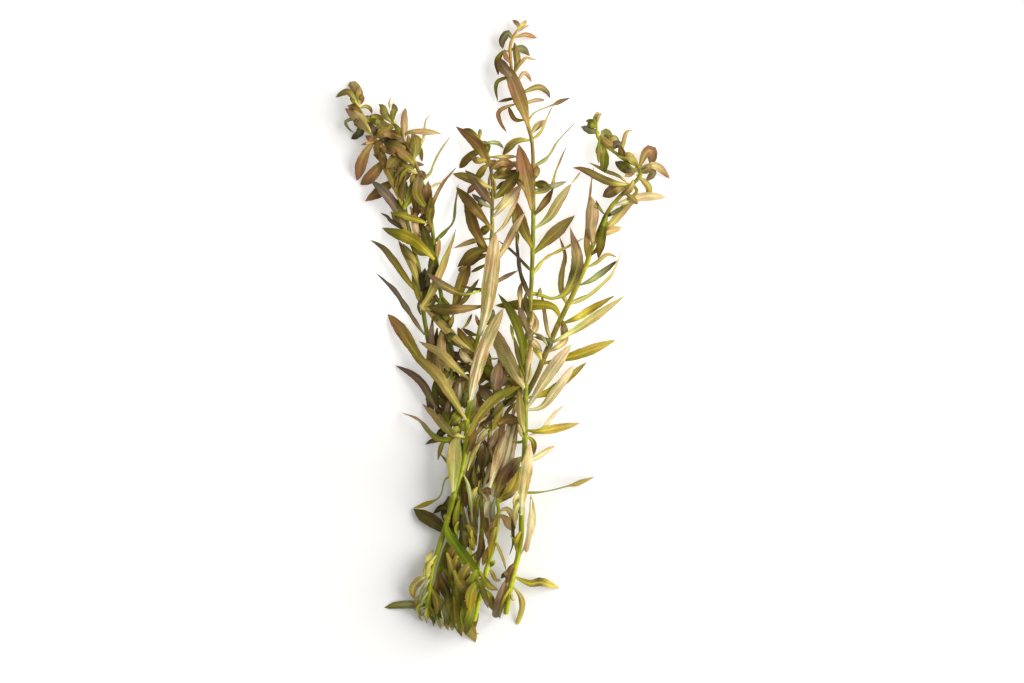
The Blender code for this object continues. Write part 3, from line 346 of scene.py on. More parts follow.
        ("brown rust", 3.4, (-4, 64), (1, 67.8), (6, 69.8)),
        ("khaki tan", 1.8, (-5.6, 73), (-1, 72.8), (7.3, 73.2)),
        ("moss olive", 2.4, (-8.6, 79.6), (-6.5, 78.3), (-5.4, 74.5)),
        ("sage deep", 1.8, (-8, 78.6), (-2, 78.9), (1, 76.6)),
        ("khaki brown", 1.8, (-9, 80.5), (-9, 85)),
        ("moss olive", 2.8, (-9, 80.5), (-13, 83.5), (-16.8, 84.8)),
        ("olive brown", 3.5, (-6.8, 75.6), (-12, 74), (-17.8, 68.3)),
        ("olive moss", 3.2, (-5, 70), (-7.5, 68), (-11, 62.5)),
        ("olive brown", 3.6, (-4, 51.8), (-8.5, 60), (-15.4, 67.5)),
        ("grey purple", 2.2, (-4, 51.5), (-7.5, 53.3), (-12.6, 57.6)),
        ("olive moss", 3.2, (-3.9, 44.6), (-7, 42), (-8.8, 39.6)),
        ("khaki tan", 2.0, (-4.3, 38.5), (-10, 38), (-20.5, 34.5)),
        ("olive brown", 4.6, (-4.8, 33.6), (-10, 33), (-18.7, 26.6)),
        ("purple pink", 1.8, (-6.4, 18), (2, 22.8), (7.2, 25.3)),
        ("brown deep", 4.2, (-7.5, 10.2), (-18, 8.8), (-24, 8.9), (-31.5, 10)),
        ("rust tan", 1.6, (-9.4, 1), (-11, 6.8)),
        ("dark brown", 2.0, (-10, -2), (-13, -1.5), (-17, 1)),
        ("sage grey", 2.6, (-9, 2), (-4.5, 4), (-3.3, 9)),
        ("olive brown", 3.6, (-11, -9), (-15.5, -4), (-18.5, 1.3)),
        ("moss sage", 2.6, (-14.3, -39), (-12.5, -32), (-10.6, -28)),
        ("moss mustard strand", 1.9, (-17.4, -60.6), (-23.5, -62.5), (-26.5, -70.5), (-37, -75)),
        ("olive moss strap", 1.4, (-16.4, -57.5), (-21.5, -56.2), (-26, -51.8)),
        ("lichen mustard", 3.8, (-29.6, -102), (-34.6, -105.2), (-37.4, -109), (-36.9, -113.2)),
        ("lichen straw", 2.4, (-30.2, -103.5), (-31, -97), (-28.6, -92.4)),
        ("lichen moss", 2.0, (-30.8, -114), (-35, -112.6), (-36.4, -118)),
        ("lime straw", 2.0, (-22.6, -79), (-24.6, -78.2)),
        ("moss pink strap", 1.9, (-15.4, -45.2), (-24.5, -46), (-29.4, -43.4), (-34.7, -37.6),
         (-42, -34.7)),
        ("brown purple stalked", 3.2, (-7, 17.6), (-15, 15.2), (-23, 18.2), (-31.3, 24)),
        ("khaki olive", 4.0, (-4.4, 59.6), (-14, 64), (-20.6, 66)),
        ("brown olive", 4.4, (-5.4, 32.4), (-10.5, 41), (-13, 48), (-15.8, 54.8)),
    ),
}

# The larger leaves, each a piece of its own, in the same form. They stand for the solids with the
# same stem and number.
ownLeaves = {
    "left": (
        ("dark deep", 5.6, (-23.5, -84.5), (-28.5, -81), (-33, -78.4), (-37.2, -75.2)),
        ("purple plum", 3.3, (-26.4, -33.6), (-29.6, -29), (-33, -22.8), (-37.8, -18.4), (-45, -14.6)),
        ("olive copper", 5.0, (-30.8, -14.2), (-35, -11), (-39, -5.5), (-43, 0.5), (-48, 7)),
        ("purple grey", 2.2, (-32.6, -1.5), (-37, 5), (-44.5, 16.3), (-49, 20.7), (-53.2, 24.4)),
        ("olive purple", 2.8, (-34.6, 15.2), (-38.5, 19.5), (-46, 30), (-50, 34.7), (-55.6, 38.3)),
        ("purple grey", 4.2, (-40.2, 42), (-45, 52), (-49.5, 58), (-55, 63)),
        ("olive brown", 4.2, (-41.6, 51.8), (-43.3, 57), (-46.6, 64.6), (-50, 71.2), (-54.3, 74.2)),
        ("tan copper", 5.0, (-53.6, 81), (-56, 85), (-59.5, 89), (-66, 93.6)),
    ),
    "back": (
        ("olive purple", 4.0, (-31, 50.8), (-34.8, 55.4), (-35.8, 60), (-33.6, 67.8)),
        ("khaki khaki", 3.0, (-33.4, 9), (-29.5, 16), (-24.5, 28), (-20.5, 38.5), (-19.3, 42.7)),
        ("mustard moss", 4.8, (-27.4, 28.8), (-34.5, 36.3), (-40, 39.6), (-45, 41.2), (-50.5, 43.2)),
        ("mustard moss", 2.7, (-29.8, 44.6), (-38, 47.3), (-42.5, 48.8), (-46.8, 49.2)),
        ("tan olive", 3.6, (-21.2, -20), (-24.7, -11), (-25.4, -5), (-25.2, 1.3)),
        ("moss mustard", 6.0, (-19.4, -106), (-17.8, -116), (-15, -124), (-10.9, -131.5)),
    ),
    "middle": (
        ("khaki sage", 3.8, (-9, -63), (-12.6, -71), (-12, -80), (-10.3, -87)),
        ("pink tan", 3.6, (-8, -66), (-6, -61), (-1.5, -47), (1.6, -37)),
    ),
    "short": (
        ("tan brown blunt streaked", 6.6, (-3.4, -67.4), (1.5, -55), (4.5, -42), (5, -36.4)),
        ("mustard olive", 5.0, (-1, -72), (4, -66.6), (8, -57.3)),
        ("purple olive", 5.0, (-2.6, -69.4), (1, -63), (4.5, -58), (8.4, -53)),
    ),
    "shoot": (
        ("mustard olive", 4.4, (25.4, 4), (21, 10.3), (8, 10.8), (-2.9, 10.4)),
        ("lichen tan", 3.3, (21.8, -5), (32.4, 0.9), (40.6, 6.5), (52.3, 14.7)),
        ("mustard straw", 4.0, (17.6, -14), (26, -12), (36, -9), (48.5, -3.9)),
        ("pink tan", 5.2, (38.6, 35.2), (37.5, 42), (37.8, 48), (37.9, 56.3)),
        ("khaki copper", 3.4, (53.8, 61), (45, 62.5), (34, 67.8), (29.6, 68.5)),
        ("pale pink", 3.6, (47, 52.4), (54, 54.5), (60, 56), (69.8, 56.2)),
    ),
    "tall": (
        ("wheat pale streaked", 4.8, (8.2, -77), (9, -65.6), (11, -54), (11.9, -46.3)),
        ("purple olive blunt", 4.6, (1.9, -105.8), (-0.6, -113), (-2.9, -121)),
        ("mustard straw patched", 3.4, (6, -104), (12, -106.6), (17, -106.2), (24.5, -108.8)),
        ("cream wheat", 2.9, (8.6, -93.6), (11.6, -86), (12.8, -78), (12.2, -68.8)),
        ("mustard khaki", 3.4, (11, -42), (16, -42.3), (27, -40.3), (33.6, -38.9)),
        ("mustard olive", 3.5, (11, -28.4), (20, -26), (30, -18.5), (36.2, -13.2)),
        ("pale cream", 3.8, (10.8, -33.4), (17, -32), (23.4, -24), (30.8, -14.2)),
        ("pale cream", 4.9, (10.8, -32.4), (14.5, -27), (21.3, -16.8), (29.6, -5.6)),
        ("tan tan", 6.2, (9.4, -23.6), (3, -12), (-2.5, -1), (-4.8, 3.5)),
        ("moss deep", 3.9, (9.4, -14), (8.3, -4), (4.5, 6.5), (-1.8, 16)),
        ("khaki pink patched stalked", 4.8, (12.8, 15.6), (17, 14.6), (22, 13.4), (28, 17), (32, 29),
         (28.9, 43.4)),
        ("olive khaki", 4.9, (14, 32.8), (20.7, 39.2), (26.5, 44.4), (31, 48.5)),
        ("lichen pink", 3.9, (14.2, 43), (20, 47.6), (24.8, 55.2), (29.6, 62)),
        ("copper rust", 6.2, (12.8, 51), (11.9, 58), (9.3, 70), (7.2, 78.5)),
        ("copper purple", 5.8, (11.4, 84.5), (7.5, 97), (3, 108), (-2, 113.8)),
    ),
    "front": (
        ("green moss", 5.0, (-23.4, -80), (-22, -86), (-16, -94.6), (-7.2, -104.6)),
        ("lichen lichen", 5.8, (-20.2, -69.4), (-20, -60), (-19.5, -50), (-17.8, -42.4)),
        ("khaki tan", 3.8, (-15.4, -45), (-21.4, -43), (-27.5, -36.5), (-33.6, -30.9)),
        ("khaki olive", 4.6, (-15, -37.2), (-22, -26.4), (-28, -18), (-38.5, -9.4)),
        ("khaki tan", 3.6, (-13, -21.4), (-20, -15), (-25.5, -9.7), (-35, -4.6)),
        ("khaki khaki", 3.4, (-11.5, -9.3), (-18, -4.5), (-26.5, 4), (-32.3, 9)),
        ("olive moss", 4.0, (-14.6, -45.6), (-9.5, -36.5), (-2, -28.5), (8, -23.5)),
        ("tan khaki streaked", 5.7, (-13.4, -30), (-9.6, -14), (-5, -2), (1, 9.6)),
        ("brown olive", 4.2, (-4.4, 43), (-11, 51.3), (-19.2, 60.4)),
        ("olive deep", 4.6, (-3.4, 55.5), (1, 59), (7.5, 67)),
        ("brown rust", 4.2, (-5.4, 69.5), (-10.5, 78.4), (-19.6, 86.2)),
        ("khaki tan streaked", 6.8, (-9, -1.8), (-5.8, 10), (-3.8, 26), (-2.4, 41.5)),
    ),
}

# Torn, curled and tiny leaves that fill the bunch, in the same form. The first rows of a stem lie
# under its other leaves, and those after "over" lie on top of them.
fillingLeaves = {
    "left": (
        ("moss olive", 3.0, (-36, 31), (-36.4, 22), (-35, 12)),
        ("dark olive", 3.6, (-29, -30), (-25, -36), (-21, -42)),
        ("deep dark", 3.0, (-24, -17), (-25, -25), (-24, -32)),
        ("plum brown", 2.8, (-29, 5), (-29.4, -5), (-27.6, -13)),
        ("deep olive", 4.0, (-44, 58), (-42, 52), (-39.5, 46)),
        ("brown olive", 4.0, (-49, 70), (-52, 76), (-50.5, 81)),
        ("dark brown", 3.2, (-22, -70), (-24, -76), (-20.5, -84)),
        ("brown olive", 4.4, (-23, -93), (-21.6, -100), (-20, -107)),
        ("moss green", 3.4, (-24.4, -99), (-21, -106), (-19, -113)),
        ("dark deep", 3.0, (-27, -106), (-29.4, -113), (-30.4, -121)),
        ("deep moss", 4.0, (-27, -110), (-25.4, -117), (-23.4, -123)),
        ("olive brown", 3.0, (-26.4, -22), (-29.4, -15), (-30.4, -6)),
        ("moss deep", 3.0, (-30.4, 31.6), (-34.4, 33.2), (-38.8, 36.6)),
        ("khaki olive", 2.6, (-35.6, 26), (-37.8, 31), (-41.6, 36.6)),
        ("dark black", 2.8, (-31.8, 12), (-31.6, 16.6), (-30.2, 21)),
        # painted shadow: a thin dark leaf laid on the left of the stem, where the stem's shadow falls
        ("dark deep", 1.2, (-34.4, 14.4), (-35, 10.4), (-33.8, 6)),
        ("dark deep", 2.0, (-27, 1), (-27.4, -3), (-27.8, -8)),
        ("deep dark", 2.8, (-29.4, -19), (-28, -26), (-26.2, -33.6)),
        ("plum purple", 2.4, (-31.8, -28.6), (-30.2, -31.6), (-28.6, -35)),
        ("dark deep", 3.2, (-22.6, -40.6), (-25.2, -43), (-28, -44.8)),
        ("brown olive", 2.6, (-58, 92), (-61.6, 93.6), (-65, 94.6)),
        ("brown dark", 2.8, (-59, 85), (-61, 82.4), (-63.4, 80.6)),
        ("olive moss", 3.0, (-56.6, 88.6), (-52.6, 87.8), (-48, 87.4)),
        ("dark plum", 3.0, (-51, 79), (-47.6, 81.6), (-44, 84)),
        ("brown khaki", 3.4, (-53, 77), (-50, 73), (-48.4, 67)),
        ("olive brown", 2.4, (-53, 84.6), (-50, 86.2), (-46.6, 87)),
        ("olive moss", 1.6, (-57.6, 90.6), (-56, 89.6), (-54.4, 90.2)),
        ("dark brown", 1.4, (-40, 62.6), (-39.8, 58.6), (-40.6, 54)),
        ("khaki olive", 2.0, (-46.6, 50), (-45, 47), (-42.6, 44)),
        ("khaki brown", 2.8, (-31.6, 9.6), (-29, 12), (-27.4, 14)),
        "over",
        ("plum dark", 3.0, (-49.6, 80), (-53.2, 84), (-56.8, 87.8)),
        ("moss copper", 3.0, (-53, 80.5), (-50, 84), (-44.6, 85.6)),
        ("rust copper", 2.4, (-53, 79), (-49, 76), (-45, 74)),
        ("rust olive", 2.2, (-60, 95), (-58.6, 97), (-58.8, 99.6)),
        ("olive rust", 1.6, (-60.4, 95.5), (-62, 96.6), (-63.6, 97.2)),
        ("straw straw", 1.8, (-53, 79.6), (-51.6, 78), (-50, 77)),
        ("copper copper", 1.4, (-54.6, 78.6), (-57, 78.4), (-59.2, 78)),
        ("dark deep", 1.6, (-59, 90), (-61.4, 87.4), (-60.2, 85.2)),
        ("brown olive", 3.2, (-46, 67), (-42.6, 70.6), (-38.6, 71.6)),
        ("moss olive", 1.8, (-60, 95), (-62, 96), (-63.8, 97.8)),
        ("khaki pale", 1.6, (-53.6, 81.6), (-57.6, 87.4), (-62.6, 92.6)),
        ("moss olive", 2.2, (-57.4, 88), (-54, 87.8), (-50.4, 87.2)),
    ),
    "back": (
        ("deep olive", 4.0, (-29.2, 35), (-28.6, 27), (-27, 19)),
        ("deep dark", 2.4, (-27.4, 15), (-26, 9), (-23.4, 1)),
        ("deep brown", 4.4, (-27, 9), (-24.4, 4), (-22.4, -3)),
        ("brown olive", 4.2, (-37, 70), (-41, 65), (-45, 60)),
        ("olive brown", 4.4, (-39, 76), (-44, 73), (-48.6, 68)),
        ("moss brown", 4.6, (-41, 51), (-38, 57), (-34, 66)),
        ("dark plum", 3.6, (-38, 73), (-42.6, 77), (-48.4, 79)),
        ("purple tan", 3.2, (-35.4, 63), (-34, 56), (-33.4, 48)),
        ("pink cream", 2.8, (-38.4, 52), (-36.4, 47), (-35, 42)),
        ("tan khaki", 2.6, (-23, -16), (-22.4, -22), (-19.2, -30)),
        ("olive dark", 2.2, (-22.6, -28), (-19.4, -33), (-16.6, -39)),
        ("dark brown", 3.6, (-18, -31), (-15.4, -26), (-13.4, -19)),
        ("deep dark", 4.4, (-18.6, -72), (-16.4, -80), (-13.6, -89)),
        ("moss deep", 3.4, (-19, -66), (-21.6, -73), (-20.4, -81)),
        ("brown dark", 3.8, (-18, -87), (-20.6, -94), (-21.4, -101)),
        ("olive moss", 4.6, (-18.4, -91), (-19.6, -100), (-18, -109)),
        ("dark olive", 3.0, (-16, -47), (-13, -52), (-11.4, -60)),
        ("deep olive", 1.8, (-26, 15), (-23, 11.4), (-19.4, 7)),
        ("dark olive", 2.6, (-27.6, 30), (-30, 25), (-31.6, 18)),
        ("deep brown", 3.6, (-24, 2), (-27, 6), (-30.4, 9)),
        ("olive purple", 3.4, (-23, -6), (-27, -10), (-29.6, -17)),
        ("dark brown", 3.6, (-22, -14), (-25, -20), (-25.6, -27)),
        ("brown olive", 3.4, (-21, -20), (-18, -26), (-15.6, -33)),
        ("purple grey", 2.8, (-20, -26), (-22.6, -33), (-22.6, -41)),
        ("deep moss", 3.4, (-17, -50), (-13.6, -46), (-11.4, -40)),
        ("dark olive", 3.6, (-17, -60), (-13, -66), (-12, -74)),
        ("olive mustard", 3.0, (-16.6, -80), (-12.4, -84), (-10.4, -91)),
        ("dark olive", 2.8, (-40.4, 65), (-41.4, 60), (-41.8, 54)),
        ("olive brown", 3.6, (-38, 56), (-36, 52), (-36.6, 47)),
        ("dark brown", 3.4, (-31, 50), (-33.4, 46), (-34.6, 41)),
        ("brown dark", 3.0, (-29.6, 46), (-31, 43), (-31.6, 39)),
        ("olive khaki", 1.8, (-36, 80), (-34, 76), (-33.4, 71)),
        ("dark deep", 2.0, (-25, 10.6), (-27, 13), (-28.8, 16)),
        ("olive deep", 2.0, (-20.2, 7), (-21, 3.6), (-22, 0)),
        ("deep dark", 4.0, (-17.4, -7), (-20, -4.6), (-23.4, -0.4)),
        ("khaki tan", 3.2, (-24.4, -21.6), (-26, -15), (-26.6, -9)),
        ("deep moss", 3.0, (-20.8, -15), (-22.8, -18), (-25, -21)),
        ("black dark", 3.0, (-17.2, -8.4), (-19.2, -11), (-21.4, -14.4)),
        ("dark plum", 2.2, (-20.2, -21.6), (-20.2, -27), (-20.4, -34)),
        ("khaki brown streaked", 2.8, (-17.4, -22.4), (-17.8, -27), (-17.8, -33)),
        ("dark deep", 2.4, (-20.2, -32), (-20.8, -36), (-21, -41)),
        ("dark brown", 2.2, (-18.8, -35), (-19, -40), (-19.2, -46)),
        ("khaki olive", 1.8, (-17.2, -35.6), (-17.4, -40), (-18, -45)),
        ("moss dark", 2.4, (-18.2, -68), (-19.2, -78), (-18.8, -89)),
        ("brown dark", 2.6, (-15.8, -63), (-15.6, -69), (-14.8, -75)),
        ("olive brown", 2.0, (-20, -12), (-17, -14.6), (-14, -14.6)),
        ("moss dark", 3.0, (-21, -40), (-23, -36.4), (-24.6, -33)),
        ("olive brown", 2.6, (-39.4, 82), (-38.8, 78.6), (-38.6, 75.4)),
        ("khaki olive", 1.2, (-37.4, 82.4), (-35, 81.4), (-33.4, 79.4)),
        ("dark olive", 2.8, (-44.8, 64.8), (-43, 67), (-41.2, 68.8)),
        ("olive brown", 2.6, (-35, 66.4), (-37, 64.4), (-38.2, 61.2)),
        ("brown khaki", 1.8, (-33.4, 68), (-32.6, 66), (-32.8, 63)),
        ("brown copper", 1.3, (-30, 61), (-29.8, 57), (-30.2, 52.6)),
        ("dark olive", 2.4, (-20.4, -16.6), (-18.8, -19.6), (-18.8, -23)),
        ("dark deep", 1.4, (-22.6, -31), (-23, -28.6), (-23.6, -26.6)),
        "over",
        ("olive brown", 3.4, (-46, 86.6), (-49.4, 83.4), (-53, 81)),
        ("brown copper", 3.6, (-41, 80), (-45.4, 82.6), (-50, 82.4)),
        ("moss olive", 2.4, (-41.4, 81.6), (-43.4, 84.4), (-44.8, 87)),
        ("pink pale strap", 0.9, (-46.8, 93), (-47.2, 96), (-46.3, 98.6)),
        ("khaki pink strap", 1.0, (-29.8, 59.8), (-27.6, 61.4), (-24.6, 62.2)),
        ("olive copper", 3.8, (-36, 69), (-39.6, 73), (-44.4, 76)),
        ("moss olive strap", 1.2, (-39, 68.4), (-41.6, 66), (-43.4, 61.4)),
        ("moss green", 1.6, (-22.2, -39.6), (-19.4, -35), (-15.6, -30)),
        ("dark deep", 2.4, (-17.4, -84), (-15.6, -88), (-15.4, -93)),
        ("black deep", 1.8, (-18.6, -76), (-17, -81), (-16.4, -86)),
        ("dark black", 1.6, (-20.6, -71), (-21.6, -76), (-20.4, -80)),
        ("moss lime", 1.2, (-18.6, -78), (-19.4, -83), (-18.2, -87)),
    ),
    "middle": (
        ("dark brown", 4.2, (-12.4, -45), (-11, -54), (-9, -64)),
        ("deep dark", 3.4, (-14.4, -45), (-13, -52), (-11.4, -60)),
        ("brown dark", 3.2, (-5.6, -46), (-8.4, -55), (-10, -64)),
        ("brown olive", 3.4, (-10.6, -44), (-6.4, -38), (-1.4, -34)),
        ("brown olive", 3.6, (1.4, -15), (5, -19), (8.6, -24)),
        ("olive brown", 3.4, (-9.6, -25), (-4, -23), (1, -26.4)),
        ("olive brown", 3.0, (-3, -30), (1.6, -26), (5.4, -20)),
        ("brown olive", 3.6, (-7, -32), (-10, -36), (-12, -42)),
        ("moss olive", 3.2, (-11, -15.6), (-7, -18), (-3.4, -22.6)),
        ("dark purple", 3.0, (-3.6, -20), (0.6, -17), (2.6, -13)),
        ("brown mustard", 1.6, (0, -38), (3.4, -33), (7, -30)),
        ("khaki brown", 2.8, (-5.4, -48), (-3.4, -56), (-6.4, -65)),
        ("purple khaki", 2.4, (-1.4, -44), (-1, -50), (-3, -57)),
        ("cream purple streaked", 3.8, (-5.8, -68.6), (-5.4, -76), (-4.6, -84)),
        ("dark deep", 3.0, (-10.4, -92), (-13.4, -98), (-14.6, -106)),
        ("olive deep", 5.0, (-12, -95), (-15.6, -102), (-16, -111)),
        ("purple brown", 3.0, (-4.6, -38), (-7.4, -32), (-11, -28)),
        ("brown purple", 4.0, (-9, -62), (-12.6, -55), (-13.4, -46)),
        ("dark plum", 3.0, (-8.4, -60), (-6, -53), (-7.6, -45)),
        ("dark brown", 3.0, (-2.6, -24), (2.6, -21), (7.6, -17)),
        ("olive mustard", 3.4, (1.6, -20), (6, -21.6), (8.8, -28)),
        ("brown olive", 4.2, (-11, -30), (-8.4, -27), (-5.2, -23.6)),
        ("olive brown", 2.6, (-9.6, -23), (-7.8, -20.6), (-5.6, -18.4)),
        ("olive brown", 3.0, (-3.4, -16.4), (-5.6, -13), (-5.6, -8.6)),
        ("moss deep", 3.2, (0.8, -30.4), (3.6, -28), (7, -25.6)),
        ("black deep", 1.8, (-3, -33.6), (0.8, -31), (5.2, -28)),
        ("black dark", 1.8, (-9.6, -40.8), (-6, -37.6), (-1.6, -34)),
        ("olive mustard", 3.0, (1, -32.4), (-1.8, -37), (-3.8, -42.6)),
        ("olive brown", 1.6, (0.4, -34.6), (-0.8, -38), (-1.2, -41)),
        ("purple tan", 2.0, (-10.8, -29.4), (-10, -32), (-9.6, -35.4)),
        ("olive deep", 2.2, (-10.6, -32.4), (-12.4, -36), (-13.6, -40)),
        ("dark brown", 2.0, (-7.8, -47), (-8.8, -50), (-9.4, -54)),
        ("dark deep", 4.4, (-13.8, -56), (-12.2, -61.6), (-10.8, -68)),
        ("dark plum", 2.0, (-14.4, -55), (-14.2, -59), (-14.6, -63)),
        ("deep dark", 1.6, (-6.6, -57), (-7.6, -61), (-8, -66)),
        ("deep sage", 2.0, (-2.4, -55), (-3.2, -60), (-4.4, -65)),
        ("moss dark", 1.6, (-10.6, -68), (-10.2, -73), (-9.8, -79)),
        ("mustard olive", 2.4, (-12.6, -84), (-12.6, -88), (-11.4, -93)),
        ("purple dark", 2.2, (-13.2, -43), (-13.4, -47), (-13, -51)),
        "over",
        ("copper rust blunt", 3.4, (-7.8, -67.6), (-5.4, -67.6), (-2.6, -68)),
        ("moss deep", 4.0, (-2.2, -22), (-5, -17.6), (-8.6, -14.6)),
        ("purple copper", 4.8, (-3, -27), (-2.4, -20), (-0.6, -12.8)),
        ("sage moss", 2.4, (-13.2, -51), (-15, -57), (-17.2, -63)),
        ("purple tan", 2.6, (-5.6, -52), (-3.2, -46), (-1.6, -41)),
        ("khaki tan", 2.0, (-14.4, -59), (-12, -52), (-8.4, -46)),
        ("moss olive", 4.6, (-18.6, -108), (-19, -118), (-16.8, -129)),
        ("olive moss", 3.6, (-20, -112), (-19.6, -119), (-18.6, -126)),
        ("khaki grey", 1.8, (-5.8, -41), (-8.2, -43.8), (-10.6, -47.6)),
        ("tan grey", 1.2, (-9.6, -39), (-7.6, -37.4), (-5.4, -35.6)),
        ("sage lichen strap", 1.6, (-15.8, -61), (-13.8, -66), (-12.8, -74), (-12.4, -81)),
        ("deep dark", 1.8, (-11.4, -57), (-11.8, -62), (-11, -67)),
        ("black dark", 1.6, (-9.6, -51), (-10.4, -55), (-10.8, -60)),
        ("dark olive", 1.8, (1.6, -32.2), (4.4, -30), (6.8, -27.8)),
    ),
    "short": (
        ("grey brown", 2.6, (-4.6, -69), (-4, -76), (-2.6, -83)),
        ("brown olive", 3.0, (-3, -88), (-5.6, -93), (-8, -99)),
        ("tan pink", 1.8, (6.2, -30.6), (5.2, -33.6), (4.2, -37)),
        ("olive khaki", 2.8, (-1.8, -70.4), (0.6, -67.4), (2.8, -64.6)),
        ("brown tan", 3.4, (-3, -77), (-4, -84), (-5.4, -92)),
        ("olive mustard", 2.6, (-2.2, -80), (-3.4, -87), (-5.6, -96)),
        "over",
        ("moss mustard", 5.0, (-12.4, -109), (-15, -119), (-11, -131.4)),
        ("moss deep", 3.6, (-11.4, -110), (-12.6, -118), (-15.2, -128)),
        ("moss deep", 5.6, (-9.6, -99.6), (-12.4, -106), (-16.6, -114)),
        ("olive deep", 5.0, (-20, -101), (-17, -107), (-11, -112)),
        ("moss mustard", 4.6, (-8.4, -103), (-12, -109), (-13.6, -118)),
        ("moss olive", 3.0, (-9.4, -101), (-5.4, -107), (-1.2, -109.6)),
        ("olive plum", 3.0, (-4.6, -66.4), (0.4, -61), (5, -55.6)),
        ("olive tan", 2.4, (-3.6, -69), (1, -70.4), (6.4, -67.6)),
        ("deep olive", 2.8, (-10, -104), (-7, -111), (-5.6, -117)),
        ("brown brown blunt", 4.6, (-1.4, -39.4), (3, -37.4), (7.6, -39.2)),
        ("tan brown streaked", 4.2, (-5, -66), (-2.4, -57), (0.6, -47), (1.6, -42)),
        ("tan khaki", 2.4, (-4.6, -63), (-2.2, -56), (-1.2, -49)),
        ("purple dark", 1.4, (-1.6, -66), (1, -62.4), (3.2, -59)),
    ),
    "shoot": (
        "over",
        ("khaki lichen", 4.2, (43.4, 78.4), (46, 79.8), (49.4, 78.2)),
        ("lichen olive", 3.6, (41.6, 80.4), (43.6, 82.8), (46.8, 81.6)),
        ("purple grey", 3.4, (46.2, 76), (48.6, 78.4), (50.8, 77)),
        ("khaki olive", 3.4, (42.4, 79), (41, 76), (41.6, 72.6)),
        ("brown olive", 2.8, (52.4, 72), (50.6, 75), (49.6, 78)),
        ("straw khaki", 3.0, (55.6, 70.4), (54.4, 72.8), (51.6, 74.6)),
        ("olive moss strap", 1.4, (56.6, 61), (57, 58.4), (52.8, 54.6)),
        ("tan olive", 1.4, (40.2, 86), (40.8, 89.6), (42.4, 91.8)),
        ("moss green", 2.8, (40, 85), (37.6, 87), (36, 85.4)),
        ("rust khaki", 2.4, (57, 69), (55, 66.4), (51.6, 64.6)),
        ("khaki olive", 2.6, (51.6, 58), (54.6, 56), (57.4, 53)),
        ("moss brown", 1.2, (44, 48), (41, 51.6), (39.6, 55)),
        ("lichen copper", 2.8, (58, 66), (60.8, 67.6), (63, 70)),
        ("sage pink", 1.8, (19.6, -7), (17.4, -3.4), (13.6, -1)),
        ("moss khaki", 1.6, (40.9, 82), (40.7, 76), (40.9, 70)),
        ("khaki mustard", 3.0, (51.6, 74), (54.6, 72.2), (57.6, 69)),
        ("moss brown", 3.6, (43.6, 50), (43, 44), (41.7, 37.4), (40.7, 30)),
        ("khaki olive", 3.0, (41, 82), (43.4, 79.6), (46.6, 77)),
        ("brown grey", 2.6, (53.6, 70.6), (51.6, 68.4), (55.4, 66)),
        ("khaki brown", 3.0, (56.6, 62.6), (53.8, 59.6), (50.4, 56.4)),
    ),
    "tall": (
        "over",
        ("pink copper strap", 1.2, (6.8, 125.4), (9, 127.4), (11.8, 128.6)),
        ("copper rust", 2.2, (13.4, 63), (15, 66.4), (14.8, 69.6)),
        ("brown olive", 1.6, (13.4, 62), (17, 62.6), (21, 60)),
        ("dark olive", 2.4, (11.8, 4.6), (10.4, 10.4), (10.1, 16)),
        ("brown plum", 3.0, (5.6, -97), (3.8, -101), (2.2, -106.4)),
        ("dark brown", 2.4, (4.6, -101), (1.4, -102.6), (-0.4, -104.6)),
        ("mustard olive strap", 1.2, (2.6, -108), (0.6, -114), (-0.8, -121.6)),
        ("moss straw strap", 1.1, (9.4, -46.4), (7, -47.2), (4.6, -46.4)),
        ("lichen tan", 2.2, (8.4, -70), (5.8, -76), (6, -83.6)),
        ("moss lime strap", 1.3, (6.6, -95), (5.6, -89), (3.4, -86)),
        ("pale tan blunt streaked", 2.6, (12.4, -71), (12, -82), (10.4, -93.4)),
        ("rust copper", 2.0, (4.4, 112), (1.8, 115), (1.2, 118.4)),
        ("copper olive", 2.6, (5, 106), (2, 109.4), (1.6, 113)),
        ("purple brown", 4.2, (4.4, 105), (1.4, 110), (-1, 114.6)),
        ("khaki straw", 1.4, (8.8, -46.4), (8, -43), (6.8, -39.4)),
        ("tan grey", 2.6, (12.2, -3), (14.4, -5.6), (17.2, -9)),
        ("deep olive", 2.2, (9.2, -21), (7.4, -12), (5, -2)),
        ("mustard moss", 2.0, (6.8, -84), (6.4, -88), (6, -92.4)),
        ("lichen moss", 1.8, (7, -67.4), (5.8, -70.6), (5.4, -74.4)),
        ("olive brown", 2.0, (5.2, 42.6), (5.4, 48), (6.6, 52.6)),
        ("olive brown", 1.6, (7, 36.2), (6.5, 40), (6.2, 43.4)),
        ("olive brown", 2.6, (13.6, 61.4), (16, 61), (19.2, 60.2)),
        ("tan brown", 2.2, (7.8, 9.6), (7.8, 14.6), (8.2, 20)),
        ("tan khaki", 1.6, (12.2, -1), (12.9, 4), (12.9, 8.6)),
        ("straw pale", 1.2, (11.4, -24), (12, -19), (12.4, -14)),
        ("olive moss", 1.3, (9, -22), (8.2, -18), (7.2, -13)),
        ("olive moss", 1.4, (4.8, -4), (4.4, -0.6), (3.8, 2.6)),
        ("khaki brown", 1.8, (15, 13.4), (15.9, 15.6), (16.4, 18)),
        ("tan pink strap", 0.8, (29.6, 61.8), (31.4, 64.2), (33.5, 67)),
        ("brown purple", 4.0, (-2, -68), (0.6, -61), (4.4, -55)),
    ),
    "front": (
        ("brown dark", 3.4, (-11.4, -8), (-14, -12), (-17.4, -14.6)),
        ("dark dark", 3.4, (-12.4, -14), (-17.6, -10.6), (-20.4, -8.6)),
        ("plum purple", 2.6, (-12.6, -17), (-16.4, -15.8), (-20, -14.6)),
        ("moss deep", 3.0, (-14.4, -35), (-18, -37), (-21.4, -40.6)),
        ("deep olive", 3.0, (-4.2, 58), (-7.6, 55), (-9.8, 50.6)),
        ("brown olive", 3.4, (-15.4, -53), (-12.6, -47), (-11.4, -40)),
